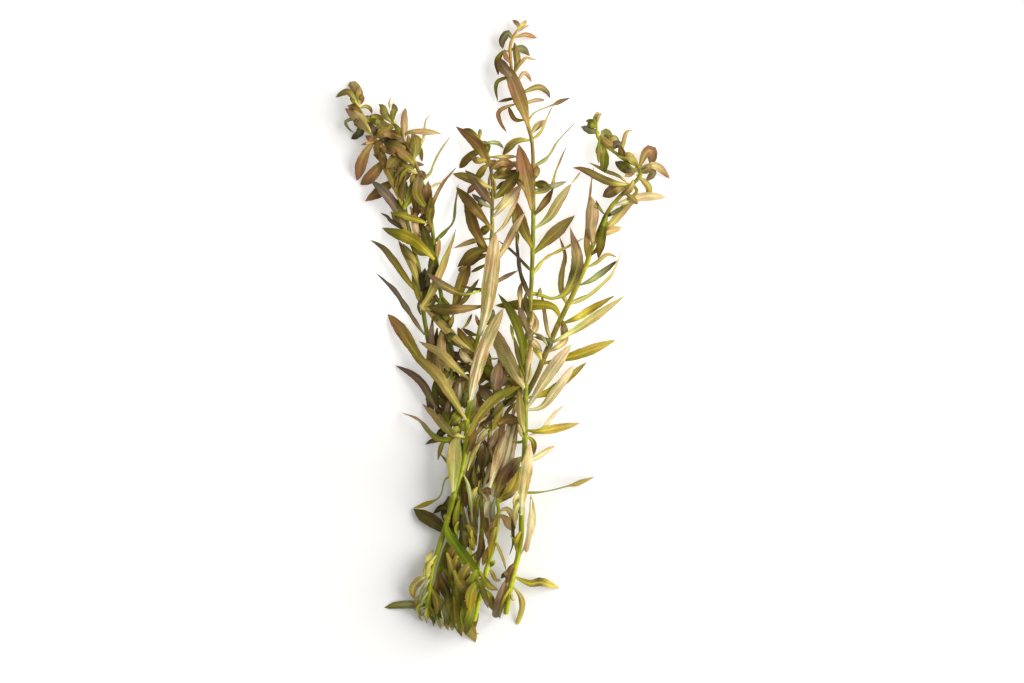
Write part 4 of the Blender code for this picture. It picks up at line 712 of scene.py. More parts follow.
        ("copper rust", 2.6, (-8.4, 62), (-12, 60.6), (-14.6, 57.4)),
        ("brown olive", 3.2, (-6.4, 32), (-10.4, 30.4), (-14.8, 26.6)),
        ("olive brown", 1.6, (-6.4, 28.4), (-9.6, 26), (-13, 24.4)),
        ("dark olive strap", 1.3, (-7.6, 17.4), (-11.6, 17.4), (-16.8, 18.8)),
        ("tan brown streaked", 3.2, (-12.4, -14), (-15, -11.4), (-18, -7.4)),
        ("moss olive", 1.8, (-12.6, -15.8), (-16, -17), (-19.8, -17.4)),
        ("olive brown", 2.6, (-13, -18), (-15.6, -20), (-18.6, -21)),
        ("moss olive", 2.2, (-16.8, -37), (-16, -39.6), (-15.8, -42.6)),
        ("deep dark", 2.6, (-12.8, -24), (-14.8, -28), (-15.6, -33)),
        ("olive brown", 3.0, (-2.6, 64.4), (2, 65.2), (7.2, 67.6)),
        ("olive brown", 2.6, (9.6, 59), (8, 61.6), (5.8, 63.6)),
        ("copper rust", 2.0, (3.8, 71), (6, 70), (7, 67.4)),
        ("brown khaki", 1.1, (-5.2, 67), (-5.2, 63), (-5, 56.4)),
        ("khaki brown", 1.1, (-2.9, 66), (-2.8, 62), (-2.8, 55.6)),
        ("brown purple", 2.2, (-10.8, 38.2), (-8.6, 35.6), (-6.8, 34)),
        ("brown olive", 2.0, (-14.6, 27), (-16.4, 26), (-18.4, 25)),
        ("olive dark", 3.2, (-10.6, -7.6), (-12.2, -4.6), (-14.4, -2.4)),
        ("dark brown", 1.8, (-12.6, -10.4), (-15, -8.8), (-17.6, -7)),
        ("dark brown", 2.8, (-12.6, -19), (-13.6, -16.4), (-15, -14)),
        "over",
        ("copper brown", 3.2, (-4.2, 67.6), (0.4, 71), (6.6, 69)),
        ("olive khaki", 2.0, (-4, 64.6), (-1, 66.8), (2.4, 68.4)),
        ("tan straw", 1.3, (-3.9, 49.8), (0.2, 54), (1.6, 57.6)),
        ("olive brown", 1.4, (-17.2, 0.2), (-14.8, 2.4), (-12.4, 7)),
        ("olive copper", 2.8, (-6, 72), (-9.8, 71.4), (-13, 73.4)),
        ("moss khaki", 2.6, (-15.6, -42), (-19, -41.4), (-20.4, -44.6)),
        ("sage straw", 1.8, (-29.8, -104), (-33.4, -110), (-34.2, -114.6)),
        ("straw lichen", 1.8, (-29, -97), (-31.6, -99.4), (-32.6, -103.6)),
        ("sage lichen", 1.8, (-30.6, -109), (-34, -115), (-34.6, -120.8)),
        ("straw moss", 1.4, (-31, -115), (-31.8, -119), (-31.4, -123.6)),
        ("moss sage", 1.8, (-29, -115), (-28.4, -120), (-28.8, -125)),
        ("sage straw", 1.6, (-26.6, -118), (-26.6, -122), (-25.4, -126)),
        ("olive pink", 2.4, (-24.4, -119), (-23.2, -123), (-22.4, -126.6)),
        ("sage moss", 1.1, (-33, -116), (-36, -117.4), (-37.6, -115.6)),
        ("sage khaki", 1.0, (-32.6, -118), (-34.6, -120.4), (-33.2, -122.6)),
        ("dark moss", 2.4, (-29.8, -112), (-27, -117), (-26.6, -122)),
        ("moss lichen", 2.8, (-22.6, -117), (-20.6, -121), (-20.8, -126.6)),
        ("brown olive", 4.4, (-26.4, -101.6), (-24.6, -108), (-21.4, -115)),
        ("sage olive", 4.4, (-26, -112), (-23.6, -118), (-20.6, -125)),
        ("olive deep", 3.4, (-23, -93.6), (-21, -99.6), (-20, -106)),
        ("plum olive", 3.4, (-4.4, 52.4), (-8.5, 58.6), (-15.2, 67.2)),
        ("dark olive strap", 0.8, (-5.2, -11.7), (-3, -12), (-0.4, -11.6)),
        ("deep moss", 3.0, (-24.6, -106), (-22.6, -112), (-22.2, -119)),
        ("olive moss", 3.4, (-28.4, -108), (-27, -114), (-27.4, -120)),
        ("straw lichen", 1.8, (-28.4, -94), (-30.6, -99), (-31.4, -105)),
        ("lichen khaki", 1.0, (-25.4, -118), (-24.6, -122), (-25.2, -125.4)),
        ("deep dark", 1.2, (-29.6, -119), (-29, -121.6), (-27.6, -123.6)),
        ("moss straw", 1.0, (-33, -113), (-35.4, -116.4), (-35, -120)),
        ("khaki sage", 1.0, (-21.4, -119), (-19.6, -122.6), (-18.6, -126)),
    ),
}


# How things lie

pile = np.zeros([int(2 * reach / plan["cell"]) for reach in plan["reach"]])
filling = pile.copy()  # the pile as the filling leaves find it, with those that lie already


def alongLine(points, shares):
    # Places at shares of the length of a smooth line, and that length. Between b and c, with a
    # before and d after, it is b + ((c - a) u + (2a - 5b + 4c - d) u^2 + (3b - 3c + d - a) u^3) / 2.
    knots = np.array(points, float)
    knots = np.vstack([2 * knots[0] - knots[1], knots, 2 * knots[-1] - knots[-2]])
    u = np.linspace(0, 1, plan["fineness"], endpoint=False)[:, None]
    runs = []
    for a, b, c, d in zip(knots, knots[1:], knots[2:], knots[3:]):
        square, cube = 2 * a - 5 * b + 4 * c - d, 3 * (b - c) + d - a
        runs.append(b + ((c - a) * u + square * u**2 + cube * u**3) / 2)
    line = np.vstack([*runs, knots[-2:-1]])
    lengths = np.concatenate([[0], np.cumsum(np.linalg.norm(np.diff(line, axis=0), axis=1))])
    wanted = np.asarray(shares) * lengths[-1]
    return np.column_stack([np.interp(wanted, lengths, line[:, axis]) for axis in (0, 1)]), lengths[-1]


def smoothly(shares, values, wanted):
    # A cubic through the values whose slope at each is that of its neighbours.
    shares, values = np.asarray(shares, float), np.asarray(values, float)
    slopes = np.gradient(values, shares)
    first = np.clip(np.searchsorted(shares, wanted) - 1, 0, len(shares) - 2)
    run = shares[first + 1] - shares[first]
    u = (wanted - shares[first]) / run
    rise = values[first + 1] - values[first]
    bend = run * slopes[first] * (1 - u) - run * slopes[first + 1] * u
    return values[first] + rise * u**2 * (3 - 2 * u) + u * (1 - u) * bend


def framesAlong(centre, heights):
    # At each place of a line, the level direction across it and the one that stands up from it.
    ahead = np.gradient(np.column_stack([centre, heights]), axis=0)
    ahead /= np.linalg.norm(ahead, axis=1)[:, None]
    side = np.column_stack([-ahead[:, 1], ahead[:, 0], np.zeros(len(ahead))])
    side /= np.linalg.norm(side, axis=1)[:, None]
    return side, np.cross(ahead, side)


def cellsAt(places):
    return tuple(((places[:, axis] + plan["reach"][axis]) / plan["cell"]).astype(int) for axis in (0, 1))


def coverPile(places, heights, fills=False):
    # raises the pile at the places and one cell round them
    column, row = cellsAt(places)
    for right in (-1, 0, 1):
        for up in (-1, 0, 1):
            np.maximum.at(filling, (column + right, row + up), heights)
            if not fills:
                np.maximum.at(pile, (column + right, row + up), heights)


def stripOf(stations, halfWidths, depths, roll=0.0):
    # Close places along and across a thing that runs straight between its stations.
    count = len(stations)
    along, across = plan["strip"]
    spread = np.linspace(0, count - 1, along * (count - 1) + 1)
    first = np.minimum(spread.astype(int), count - 2)
    weights = np.zeros((len(spread), count))
    weights[np.arange(len(spread)), first] = 1 - (spread - first)
    weights[np.arange(len(spread)), first + 1] = spread - first
    centres = weights @ stations
    ahead = np.gradient(centres, axis=0)
    ahead /= np.linalg.norm(ahead, axis=1)[:, None]
    side = np.column_stack([-ahead[:, 1], ahead[:, 0]])
    offset = np.linspace(-1, 1, across) * (weights @ halfWidths)[:, None]
    places = centres[:, None, :] + offset[..., None] * math.cos(roll) * side[:, None, :]
    return {"weights": weights, "places": places.reshape(-1, 2), "lean": offset * math.sin(roll),
            "depth": weights @ depths}


def floorUnder(strip, fills=False):
    # the lowest that the middle of the strip may lie
    under = (filling if fills else pile)[cellsAt(strip["places"])].reshape(strip["lean"].shape)
    clear = np.where(under > 0, under + plan["fillingGap" if fills else "gap"], plan["slack"])
    return (clear - strip["lean"]).max(axis=1) + strip["depth"]


def layDown(strip, heights, fills=False):
    top = (strip["weights"] @ heights + strip["depth"])[:, None] + strip["lean"]
    coverPile(strip["places"], top.reshape(-1), fills)


def lifted(heights, weights, lift, floor):
    # Lifts the stations by the worst shortfall, again and again, until all is clear of the floor.
    heights = heights.copy()
    for _ in range(plan["lifts"]):
        short = floor - weights @ heights
        worst = short.argmax()
        if short[worst] < plan["slack"]:
            break
        heights += lift[worst] * short[worst] / (lift[worst] @ weights[worst])
    return heights


def settled(loose, weights, floor, held):
    # Lifts a leaf clear of what is under it, then lets each station down as far as it can go. The
    # first held stations stay, and so the floor counts only where the others carry enough.
    free = weights.copy()
    free[:, :held] = 0
    bound = free.max(axis=1) > plan["bound"]
    free, weights, floor = free[bound], weights[bound], floor[bound]
    heights = lifted(loose, weights, free, floor)
    for _ in range(plan["letDowns"]):
        for station in range(held, len(heights)):
            near = weights[:, station] > plan["near"]
            own = weights[near, station]
            others = weights[near] @ heights - own * heights[station]
            needed = ((floor[near] - others) / own).max()
            heights[station] = min(heights[station], max(loose[station], needed))
    return heights


# Pieces

def bodyMesh(name, blocks, material, slotName, node):
    # Joins closed tubes, each a grid of rows by a ring of points, into one mesh in metres. What else
    # a block holds goes on its points for the material: two colours, and the rest are vectors.
    places, faces, start = [], [], 0
    values = {key: [] for key in blocks[0] if key != "place"}
    for block in blocks:
        rows, ring = block["place"].shape[:2]
        index = start + np.arange(rows * ring).reshape(rows, ring)
        after = np.roll(index, -1, axis=1)
        quads = np.stack([index[:-1], index[1:], after[1:], after[:-1]], axis=-1).reshape(-1, 4)
        faces += quads.tolist() + [index[0].tolist(), index[-1][::-1].tolist()]
        places.append(block["place"].reshape(-1, 3))
        for key in values:
            values[key].append(np.broadcast_to(block[key], (rows, ring, 3)).reshape(-1, 3))
        start += rows * ring
    places = np.vstack(places)
    places[:, :2] -= plan["middle"]
    places[:, 2] = np.maximum(places[:, 2], plan["lowest"])
    mesh = bpy.data.meshes.new(name)
    mesh.from_pydata((places * plan["mm"]).tolist(), [], faces)
    for key in values:
        numbers = np.vstack(values[key])
        if key in ("tint", "rib"):
            colours = np.column_stack([numbers, np.ones(len(places))])
            mesh.attributes.new(key, "FLOAT_COLOR", "POINT").data.foreach_set("color", colours.ravel())
        else:
            mesh.attributes.new(key, "FLOAT_VECTOR", "POINT").data.foreach_set("vector", numbers.ravel())
    mesh.materials.append(material)
    mesh.shade_smooth()
    mesh.set_sharp_from_angle(angle=math.radians(plan["sharp"]))
    mesh.update()
    piece = bpy.data.objects.new(name, mesh)
    bpy.context.scene.collection.objects.link(piece)
    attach(piece, "root")
    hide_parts(node)


# Leaves

# A leaf is of one of three kinds: own is a piece of its own, grown is a small leaf of a stem, and
# filling is the rest.
leafForm = {
    # the length of a row of faces, with the fewest and the most rows, and the columns across it
    "rows": {"own": (1.05, 12, 30), "grown": (1.05, 12, 26), "filling": (1.5, 8, 16)},
    "across": {
        "own": (-1, -0.74, -0.44, -0.17, 0, 0.17, 0.44, 0.74, 1),
        "grown": (-1, -0.6, -0.2, 0, 0.2, 0.6, 1),
        "filling": (-1, -0.55, 0, 0.55, 1),
    },
    "crowding": 0.25,  # how much closer together the rows are at the tip
    "fullness": 1.06,  # of a blade in the scene, as a share of its row's width
    "thickness": 0.22,  # of the blade beside the midrib
    # how far the midrib stands out of the underside, half its width, and what it loses to the tip
    "ridge": (0.1, 0.32, 0.7),
    "groove": 0.3,  # the share of that by which it is sunk in the upper side
    "stalk": 0.28,  # the stalk's width, as a share of the blade's
    "stalkBody": 0.2,  # by how much half the stalk's thickness is more than the blade's
    "stalkReach": 0.3,  # the share of the leaf along which the stalk turns into blade
    "strap": (0.8, 0.7),  # the powers of the way along it and of the sine that give its width
    "stalked": (0.18, 0.2),  # where its blade starts, and how wide its stalk is
    "strand": (0.3, 0.75, 0.8, 0.13),  # its width, what its blade adds, where, and its reach
    "blunt": (2.2, 0.35),  # how fast it widens, and what its tip loses
    "closing": (0.05, 0.1, 0.6),  # over what share a tip closes, to what width, and how
    "slenderness": 0.095,  # a blade that looks narrower than this is turned on edge
    "rounding": 1.2,  # how a blade widens from its foot
    "point": (0.8, 1.15),  # how far it is drawn out to its tip
    "uneven": 0.16,  # by how much one half may be wider than the other
    "fold": (0.05, 0.24),  # the slope of its halves
    "fillingFold": 0.5,  # the share of that on filling leaves
    "wave": (0.03, 0.12),  # how far the rim goes up and down, as a share of half the width
    "beats": (2.4, 5.0),  # how often it does so along the blade
    "twist": 0.2,
    "ripple": 0.05,  # how far the rim goes in and out
    "ragged": 0.05,  # how far it is nibbled
    "shade": (0.84, 1.12),  # how dark and how light a blade may be beside its tone
    "tip": (0.35, 0.6, 1.3),  # where the tip's tone starts, over what share it comes in, and how
    "footTone": "#8f9030",  # the young green of the foot of every blade
    "foot": (0.5, 0.55),  # how strong it is, and how far it reaches along the blade
    "faintFoot": 0.4,  # the share of that on filling and streaked leaves
    "twoTone": 0.05,  # one half of a blade is a little greener and the other redder
    "patch": (0.85, 0.55, 0.12),  # how strong the dark patch is, and where it is and how far it reaches
    "stalkTint": 0.8,  # how much of the midrib's colour the stalk takes
    "arch": 0.05,  # how high a leaf arches between foot and tip, as a share of its length
    "sags": (1.1, 0.6, 0.9),  # how far the tip hangs, in turn, as a share of the foot's height
    "depths": (0.17, 0.08),  # how far a blade goes below its middle, and a filling one
    "joined": 0.3,  # an own leaf that starts further off is given a stalk
    "held": 2.5,  # a filling leaf that starts further off lies loose
    "looseFoot": (0.3, 1.5),  # the most that its foot lies above the filling and above the pile
    "footClear": 3.0,  # from its foot to where a leaf keeps clear of what is under it
    "heap": 2.6,  # how far a filling leaf may lie above the highest thing under it
    # the stations that carry a leaf: the share of the length, and that of the full width
    "stations": {
        "own": ((0, 0.3), (0.12, 0.3), (0.3, 0.84), (0.5, 1), (0.76, 0.72), (1, 0.03)),
        "long": ((0, 0.3), (0.28, 0.84), (0.5, 1), (0.76, 0.72), (1, 0.03)),
        "short": ((0, 0.34), (0.3, 0.84), (0.64, 0.9), (1, 0.03)),
    },
    # the tones of blades that show their underside
    "undersides": ("cream", "pale", "wheat", "tan", "khaki", "pink", "straw", "sage", "grey"),
}


def widthShare(s, words, point):
    # A blade is s^1.2 (1 - s)^point over its peak, with a stalk at its foot. A strap keeps its width
    # for longer, a stalked leaf starts its blade late, a strand is a thread that widens to a small
    # blade near its tip, and a blunt leaf has its tip bent down out of sight.
    rounding = leafForm["rounding"]
    peak = rounding / (rounding + point)
    blade = (s / peak) ** rounding * ((1 - s) / (1 - peak)) ** point
    if "strap" in words:
        slow, wide = leafForm["strap"]
        blade = np.sin(np.pi * s ** slow) ** wide
    if "stalked" in words:
        start, least = leafForm["stalked"]
        late = np.clip((s - start) / (1 - start), 0, 1)
        blade = np.maximum(least, (late / peak) ** rounding * ((1 - late) / (1 - peak)) ** point)
    if "strand" in words:
        thread, added, middle, reach = leafForm["strand"]
        blade = thread + added * np.exp(-(((s - middle) / reach) ** 2))
    if "blunt" in words:
        widening, lost = leafForm["blunt"]
        blade = np.minimum(1, widening * s) * (1 - lost * s**3)
    stalk = leafForm["stalk"] * (1 - s) ** 0.3
    share, least, ease = leafForm["closing"]
    tip = np.clip((1 - s) / share, least, 1) ** ease
    return np.hypot(blade, stalk * (1 - np.clip(s / leafForm["stalkReach"], 0, 1)) ** 0.5) * tip


def leafTints(s, t, words, fills, draw):
    # The colours of the blade and of its midrib, in linear values: the first tone turns into the
    # second towards the tip, and both start from the young green of the foot.
    blade, tip = linear(tones[words[0]][0]), linear(tones[words[1]][0])
    start, share, ease = leafForm["tip"]
    turn = np.clip((s - start) / share, 0, 1)[:, None, None] ** ease
    tint = (blade * (1 - turn) + tip * turn) * draw.uniform(*leafForm["shade"])
    strength, reach = leafForm["foot"]
    strength *= leafForm["faintFoot"] if fills or "streaked" in words else 1
    young = strength * np.clip(1 - s / reach, 0, 1)[:, None, None]
    tint = tint ** (1 - young) * linear(leafForm["footTone"]) ** young
    if "patched" in words:
        strength, middle, reach = leafForm["patch"]
        patch = strength * np.exp(-(((s - middle) / reach) ** 2))[:, None, None]
        tint = tint * (1 - patch) + linear(tones["black"][0]) * patch
    leaning = leafForm["twoTone"] * draw.uniform(-1, 1) * np.tanh(4 * t)[..., None]
    tint = tint * (1 + leaning * np.array([1.0, -0.8, 0.2]))
    stalk = np.clip(1 - s / leafForm["stalkReach"], 0, 1)[:, None, None] ** 1.2
    # a streaked leaf takes the pale tone for its midrib and for its pale streaks, which are partly painted
    # highlight
    ribTone = "lime" if "stalked" in words else "pale" if "streaked" in words else words[0]
    rib = linear(tones[ribTone][1])
    rib = np.broadcast_to(rib, (len(s), 1, 3)) * (1 - turn) + (tip + rib) / 2 * turn
    tint = tint * (1 - leafForm["stalkTint"] * stalk) + rib * leafForm["stalkTint"] * stalk
    return tint * exposure, rib * exposure


def leafBlock(row, number, roll, heights, shares, points, full, kind):
    # The closed surface of a leaf: its upper side from rim to rim, and back along its underside.
    words = row[0].split()
    draw = np.random.default_rng([number, *(int(10 * (place + 200)) for place in row[-1])])
    rowLength, *fewestAndMost = leafForm["rows"][kind]
    rowCount = int(np.clip(alongLine(points, (0, 1))[1] / rowLength, *fewestAndMost))
    s = np.linspace(0, 1, rowCount)
    s = s * (1 + leafForm["crowding"] - leafForm["crowding"] * s)
    t = np.array(leafForm["across"][kind])[None, :]
    centre, length = alongLine(points, s)
    z = smoothly(shares, heights, s)
    side, up = framesAlong(centre, z)

    half = widthShare(s, words, draw.uniform(*leafForm["point"]))[:, None] * full / 2 * leafForm["fullness"]
    fills = kind == "filling"
    under = words[0] in leafForm["undersides"]
    grown = np.clip(s / leafForm["stalkReach"], 0, 1)[:, None]
    fold = draw.uniform(*leafForm["fold"]) * (leafForm["fillingFold"] if fills else 1)
    wave = draw.uniform(*leafForm["wave"]) * grown
    phase, beats = draw.uniform(0, 6.3), draw.uniform(*leafForm["beats"])
    # seen from below, a blade that is folded along its midrib is a roof, and from above a gutter
    rise = half * (fold * (1 - np.abs(t) if under else np.abs(t))
                   + wave * np.abs(t)**3 * np.sin(phase + beats * 2 * np.pi * s[:, None] + 1.2 * t))
    twist = draw.uniform(-leafForm["twist"], leafForm["twist"])
    lean = roll * grown**1.5 + twist * np.sin(np.pi * s[:, None] + phase)
    nibbles = draw.uniform(-1, 1, (rowCount, t.shape[1])) * t**4 * grown
    ragged = leafForm["ripple"] * np.sin(phase + 9 * s[:, None] + 3 * t) + leafForm["ragged"] * nibbles
    across = half * t * (1 + ragged + draw.uniform(-1, 1) * leafForm["uneven"] * np.sign(t))

    body = leafForm["thickness"] / 2 * (1 - t**6) + leafForm["stalkBody"] * (1 - grown) * (1 - t**2)
    high, wide, lost = leafForm["ridge"]
    ridge = np.exp(-((half * t / wide) ** 2)) * high * (1 - lost * s[:, None])
    top = body + (ridge if under else -leafForm["groove"] * ridge)
    bottom = -body - (0 if under else ridge)

    def placed(lift):
        flat = across * np.cos(lean) - lift * np.sin(lean)
        high = across * np.sin(lean) + lift * np.cos(lean)
        base = np.column_stack([centre, z])[:, None, :]
        return base + flat[..., None] * side[:, None, :] + high[..., None] * up[:, None, :]

    def ringed(values, below):
        return np.concatenate([values, below[:, -2:0:-1]], axis=1)

    tint, rib = leafTints(s, t, words, fills, draw)
    shape = (len(s), t.shape[1])
    # for the material: the millimetres across and along with a number of its own, and the shares
    # out to the rim and on to the tip with a mark for the pale streaks, which are partly painted highlight
    seed = draw.uniform(0, 40)
    vein = np.stack([half * t, np.broadcast_to((s * length)[:, None], shape),
                     np.full(shape, seed)], axis=-1)
    form = np.stack([np.broadcast_to(np.abs(t), shape), np.broadcast_to(s[:, None], shape),
                     np.full(shape, float("streaked" in words))], axis=-1)
    return {
        "place": ringed(placed(rise + top), placed(rise + bottom)),
        "tint": ringed(tint, tint),
        "rib": rib,
        "vein": ringed(vein, vein),
        "form": ringed(form, form),
    }


def nearestOn(line, place):
    stations, heights = line
    starts, steps = stations[:-1], np.diff(stations, axis=0)
    share = np.clip(((place - starts) * steps).sum(axis=1) / (steps**2).sum(axis=1), 0, 1)
    feet = starts + share[:, None] * steps
    best = np.linalg.norm(feet - place, axis=1).argmin()
    return feet[best], heights[best] + share[best] * (heights[best + 1] - heights[best])


def layLeaf(row, number, line, kind):
    # Lays one leaf on the pile, and returns its surface. It starts in its stem, but a filling leaf
    # that is too far off lies loose.
    width, points = row[1], [np.array(point, float) for point in row[2:]]
    fills = kind == "filling"
    foot, footHeight = nearestOn(line, points[0])
    apart = np.linalg.norm(points[0] - foot)
    held = not fills or apart < leafForm["held"]
    if kind == "own" and apart > leafForm["joined"]:
        points = [foot, *points]
    elif held:
        points = [foot, *points[1:]]
    else:
        cell = cellsAt(points[0][None])
        overFilling, overPile = leafForm["looseFoot"]
        footHeight = min(filling[cell][0] + overFilling, pile[cell][0] + overPile)
    outline = leafForm["stations"]["own" if kind == "own" else "long" if len(row) > 5 else "short"]
    shares, widths = np.array(outline).T
    stations, length = alongLine(points, shares)
    full = max(width, leafForm["slenderness"] * length)
    acrossPlan, aheadPlan = stations[-1] - stations[0]
    roll = math.copysign(math.acos(width / full), acrossPlan * aheadPlan)
    halves = widths * full / 2
    sag = leafForm["sags"][number % len(leafForm["sags"])]
    loose = footHeight * (1 - sag * shares**2) + leafForm["arch"] * length * np.sin(np.pi * shares)
    strip = stripOf(stations, halves, halves * leafForm["depths"][fills], roll)
    floor = floorUnder(strip, fills)
    if held:
        fromFoot = np.linalg.norm(strip["weights"] @ stations - stations[0], axis=1)
        floor[fromFoot < leafForm["footClear"]] = 0
    heights = settled(loose, strip["weights"], floor, int(held))
    if fills:
        highest = max(footHeight, pile[cellsAt(strip["places"])].max())
        heights = np.minimum(heights, highest + leafForm["heap"])
    layDown(strip, heights, fills)
    return leafBlock(row, number, roll, heights, shares, points, full, kind)


# Stems

stemForm = {
    "radius": 1.15,
    "tipRadius": 0.6,
    "step": 9.0,  # between the stations that carry a stem over what lies under it
    "corridor": 2.8,  # half the width of what it is carried over
    "stiffness": 1.6,  # how many stations each way are lifted with one
    "ring": 14,
    "rowStep": 0.8,
    "knot": 0.12,  # how far a stem swells where a leaf leaves it
    "knotLength": 1.0,
    "knotTint": 0.3,
    "ribs": 0.035,
    "cutEnd": 0.82,  # the width of the cut end, and of the last rows at the tip
    "tipRows": (0.85, 0.6, 0.2),
    "seed": 7.0,  # where the noise of its skin starts
}


def layStem(stem):
    # Lays one stem on the pile: its stations with their heights and their shares of its length.
    _, length = alongLine(stem["line"], (0, 1))
    shares = np.linspace(0, 1, round(length / stemForm["step"]) + 1)
    stations, _ = alongLine(stem["line"], shares)
    radii = stemForm["radius"] + (stemForm["tipRadius"] - stemForm["radius"]) * shares**2
    corridor = stripOf(stations, np.full(len(shares), stemForm["corridor"]), radii)
    low, high = stem["heights"]
    heights = low + (high - low) * np.minimum(1, 2 * shares)
    apart = np.arange(len(shares))[:, None] - np.arange(len(shares))[None, :]
    bend = np.exp(-((apart / stemForm["stiffness"]) ** 2))
    weights = corridor["weights"]
    heights = lifted(heights, weights, weights @ bend, floorUnder(corridor))
    layDown(stripOf(stations, radii, radii), heights)
    return stations, heights, shares


def nearestShare(centre, s, foot):
    return s[np.linalg.norm(centre - foot, axis=1).argmin()]


def stemBlock(stem, heights, shares, feet):
    # A round tube: its radius falls with the square of the share along it, swells at each knot by
    # a bell curve, and has four faint ribs round it.
    _, length = alongLine(stem["line"], (0, 1))
    s = np.linspace(0, 1, int(length / stemForm["rowStep"]))
    centre, _ = alongLine(stem["line"], s)
    z = smoothly(shares, heights, s)
    side, up = framesAlong(centre, z)
    knots = np.array([nearestShare(centre, s, foot) * length for foot in feet])
    away = (s * length)[:, None] - knots[None, :]
    knot = np.exp(-((away / stemForm["knotLength"]) ** 2)).max(axis=1)
    radius = stemForm["radius"] + (stemForm["tipRadius"] - stemForm["radius"]) * s**2
    radius = radius + stemForm["knot"] * knot * radius
    radius[0] *= stemForm["cutEnd"]
    radius[-3:] *= np.array(stemForm["tipRows"])
    angle = np.linspace(0, 2 * np.pi, stemForm["ring"], endpoint=False)[None, :]
    spoke = radius[:, None] * (1 + stemForm["ribs"] * np.cos(4 * angle + 6 * s[:, None]))
    outward = np.cos(angle)[..., None] * -side[:, None, :] + np.sin(angle)[..., None] * up[:, None, :]
    skin = np.array([linear(skins[tone]) for tone in stem["skin"]])
    spots = np.linspace(0, 1, len(skin))
    tint = np.column_stack([np.interp(s, spots, skin[:, channel]) for channel in range(3)])
    pale = linear(tones["lime"][1])
    knotTint = stemForm["knotTint"] * knot[:, None]
    tint = tint * (1 - knotTint) + pale * knotTint
    # for the material: the millimetres round and along it, with a number of its own
    shape = (len(s), stemForm["ring"])
    vein = np.stack([np.broadcast_to(angle * stemForm["radius"], shape),
                     np.broadcast_to((s * length)[:, None], shape),
                     np.full(shape, stemForm["seed"])], axis=-1)
    return {
        "place": np.column_stack([centre, z])[:, None, :] + spoke[..., None] * outward,
        "tint": tint[:, None, :] * exposure,
        "vein": vein,
    }


# Materials

multiplied = {"data_type": "RGBA", "blend_type": "MULTIPLY"}  # of a mix of two colours


def addNode(tree, kind, inputs, take=None, **settings):
    # Adds a node with its settings, and returns one of its outputs. The inputs are given by name,
    # or in order for those in use, and each is a value or the output of another node.
    node = tree.nodes.new(kind)
    for name, value in settings.items():
        setattr(node, name, value)
    inUse = [socket for socket in node.inputs if socket.enabled]
    for key, value in inputs.items() if isinstance(inputs, dict) else enumerate(inputs):
        socket = node.inputs[key] if isinstance(key, str) else inUse[key]
        if isinstance(value, bpy.types.NodeSocket):
            tree.links.new(value, socket)
        else:
            socket.default_value = value
    return node.outputs[take] if take else next(output for output in node.outputs if output.enabled)


def newMaterial(name, settings):
    # A material with its tree and its shader, whose constants are set here.
    material = bpy.data.materials.new(name)
    material.use_nodes = True
    shader = material.node_tree.nodes["Principled BSDF"]
    for key, value in settings.items():
        shader.inputs[key].default_value = value
    return material, material.node_tree, shader


leafLook = {
    # millimetres across and along, detail and roughness of each noise
    "fibre": (0.5, 7.0, 3.0, 0.6),
    "streak": (0.9, 12.0, 2.0, 0.5),
    "flush": (7.0, 7.0, 2.0, 0.5),
    "blotch": (2.6, 2.6, 4.0, 0.62),
    "speck": (0.6, 0.6, 2.0, 0.5),
    "veinApart": 1.7,
    "veinSlant": -1.3,  # how far a side vein runs ahead while it goes out
    "veinShare": 0.17,
    "veinRelief": -0.4,  # a side vein is pressed in by this share of a fibre
    "ribWidth": 0.42,  # from the middle to where it fades, in millimetres
    "ribShare": 0.8,
    "bandWidth": 1.5,  # of the paler blade beside it
    "bandShare": 0.2,
    # each range is from low to high, with what those two give
    "comb": (0.75, 1.0, 0.0, 1.0),  # the part of a sine's wave that is a side vein
    "ribFade": (0.1, 0.9, 1.0, 0.1),  # of the midrib, from foot to tip
    "fibreTone": (0.3, 0.7, 0.7, 1.28),
    "streakTone": (0.36, 0.64, 0.88, 1.2),
    "paleStreakAndSheen": (0.5, 0.6, 0.0, 0.4),  # on a leaf that is streaked
    # pale streaks on streaked leaves: partly whitish tissue and partly painted highlight
    "redder": (0.36, 0.64, 0.0, 1.0),  # where the flush is of the redder cast
    "cast": ((0.93, 1.04, 0.84, 1), (1.1, 0.92, 0.96, 1)),  # from patch to patch, greener and redder
    # where each starts and is full, how strong it is, and what it leaves of the colour
    "faded": (0.5, 0.75, 0.6, (0.86, 0.68, 0.52, 1)),
    # the rim: the blade is darker towards its edge
    "rim": (0.72, 1.0, 0.14, (0.5, 0.4, 0.32, 1)),
    "specks": (0.66, 0.72, 0.35, (0.45, 0.34, 0.26, 1)),
    "roughness": (0.3, 0.7, 0.36, 0.52),
    "gloss": 0.18,
    "glossTint": (1.0, 0.93, 0.72, 1),
    "relief": (0.5, 0.00012),  # how strong it is, and how high, in metres
}


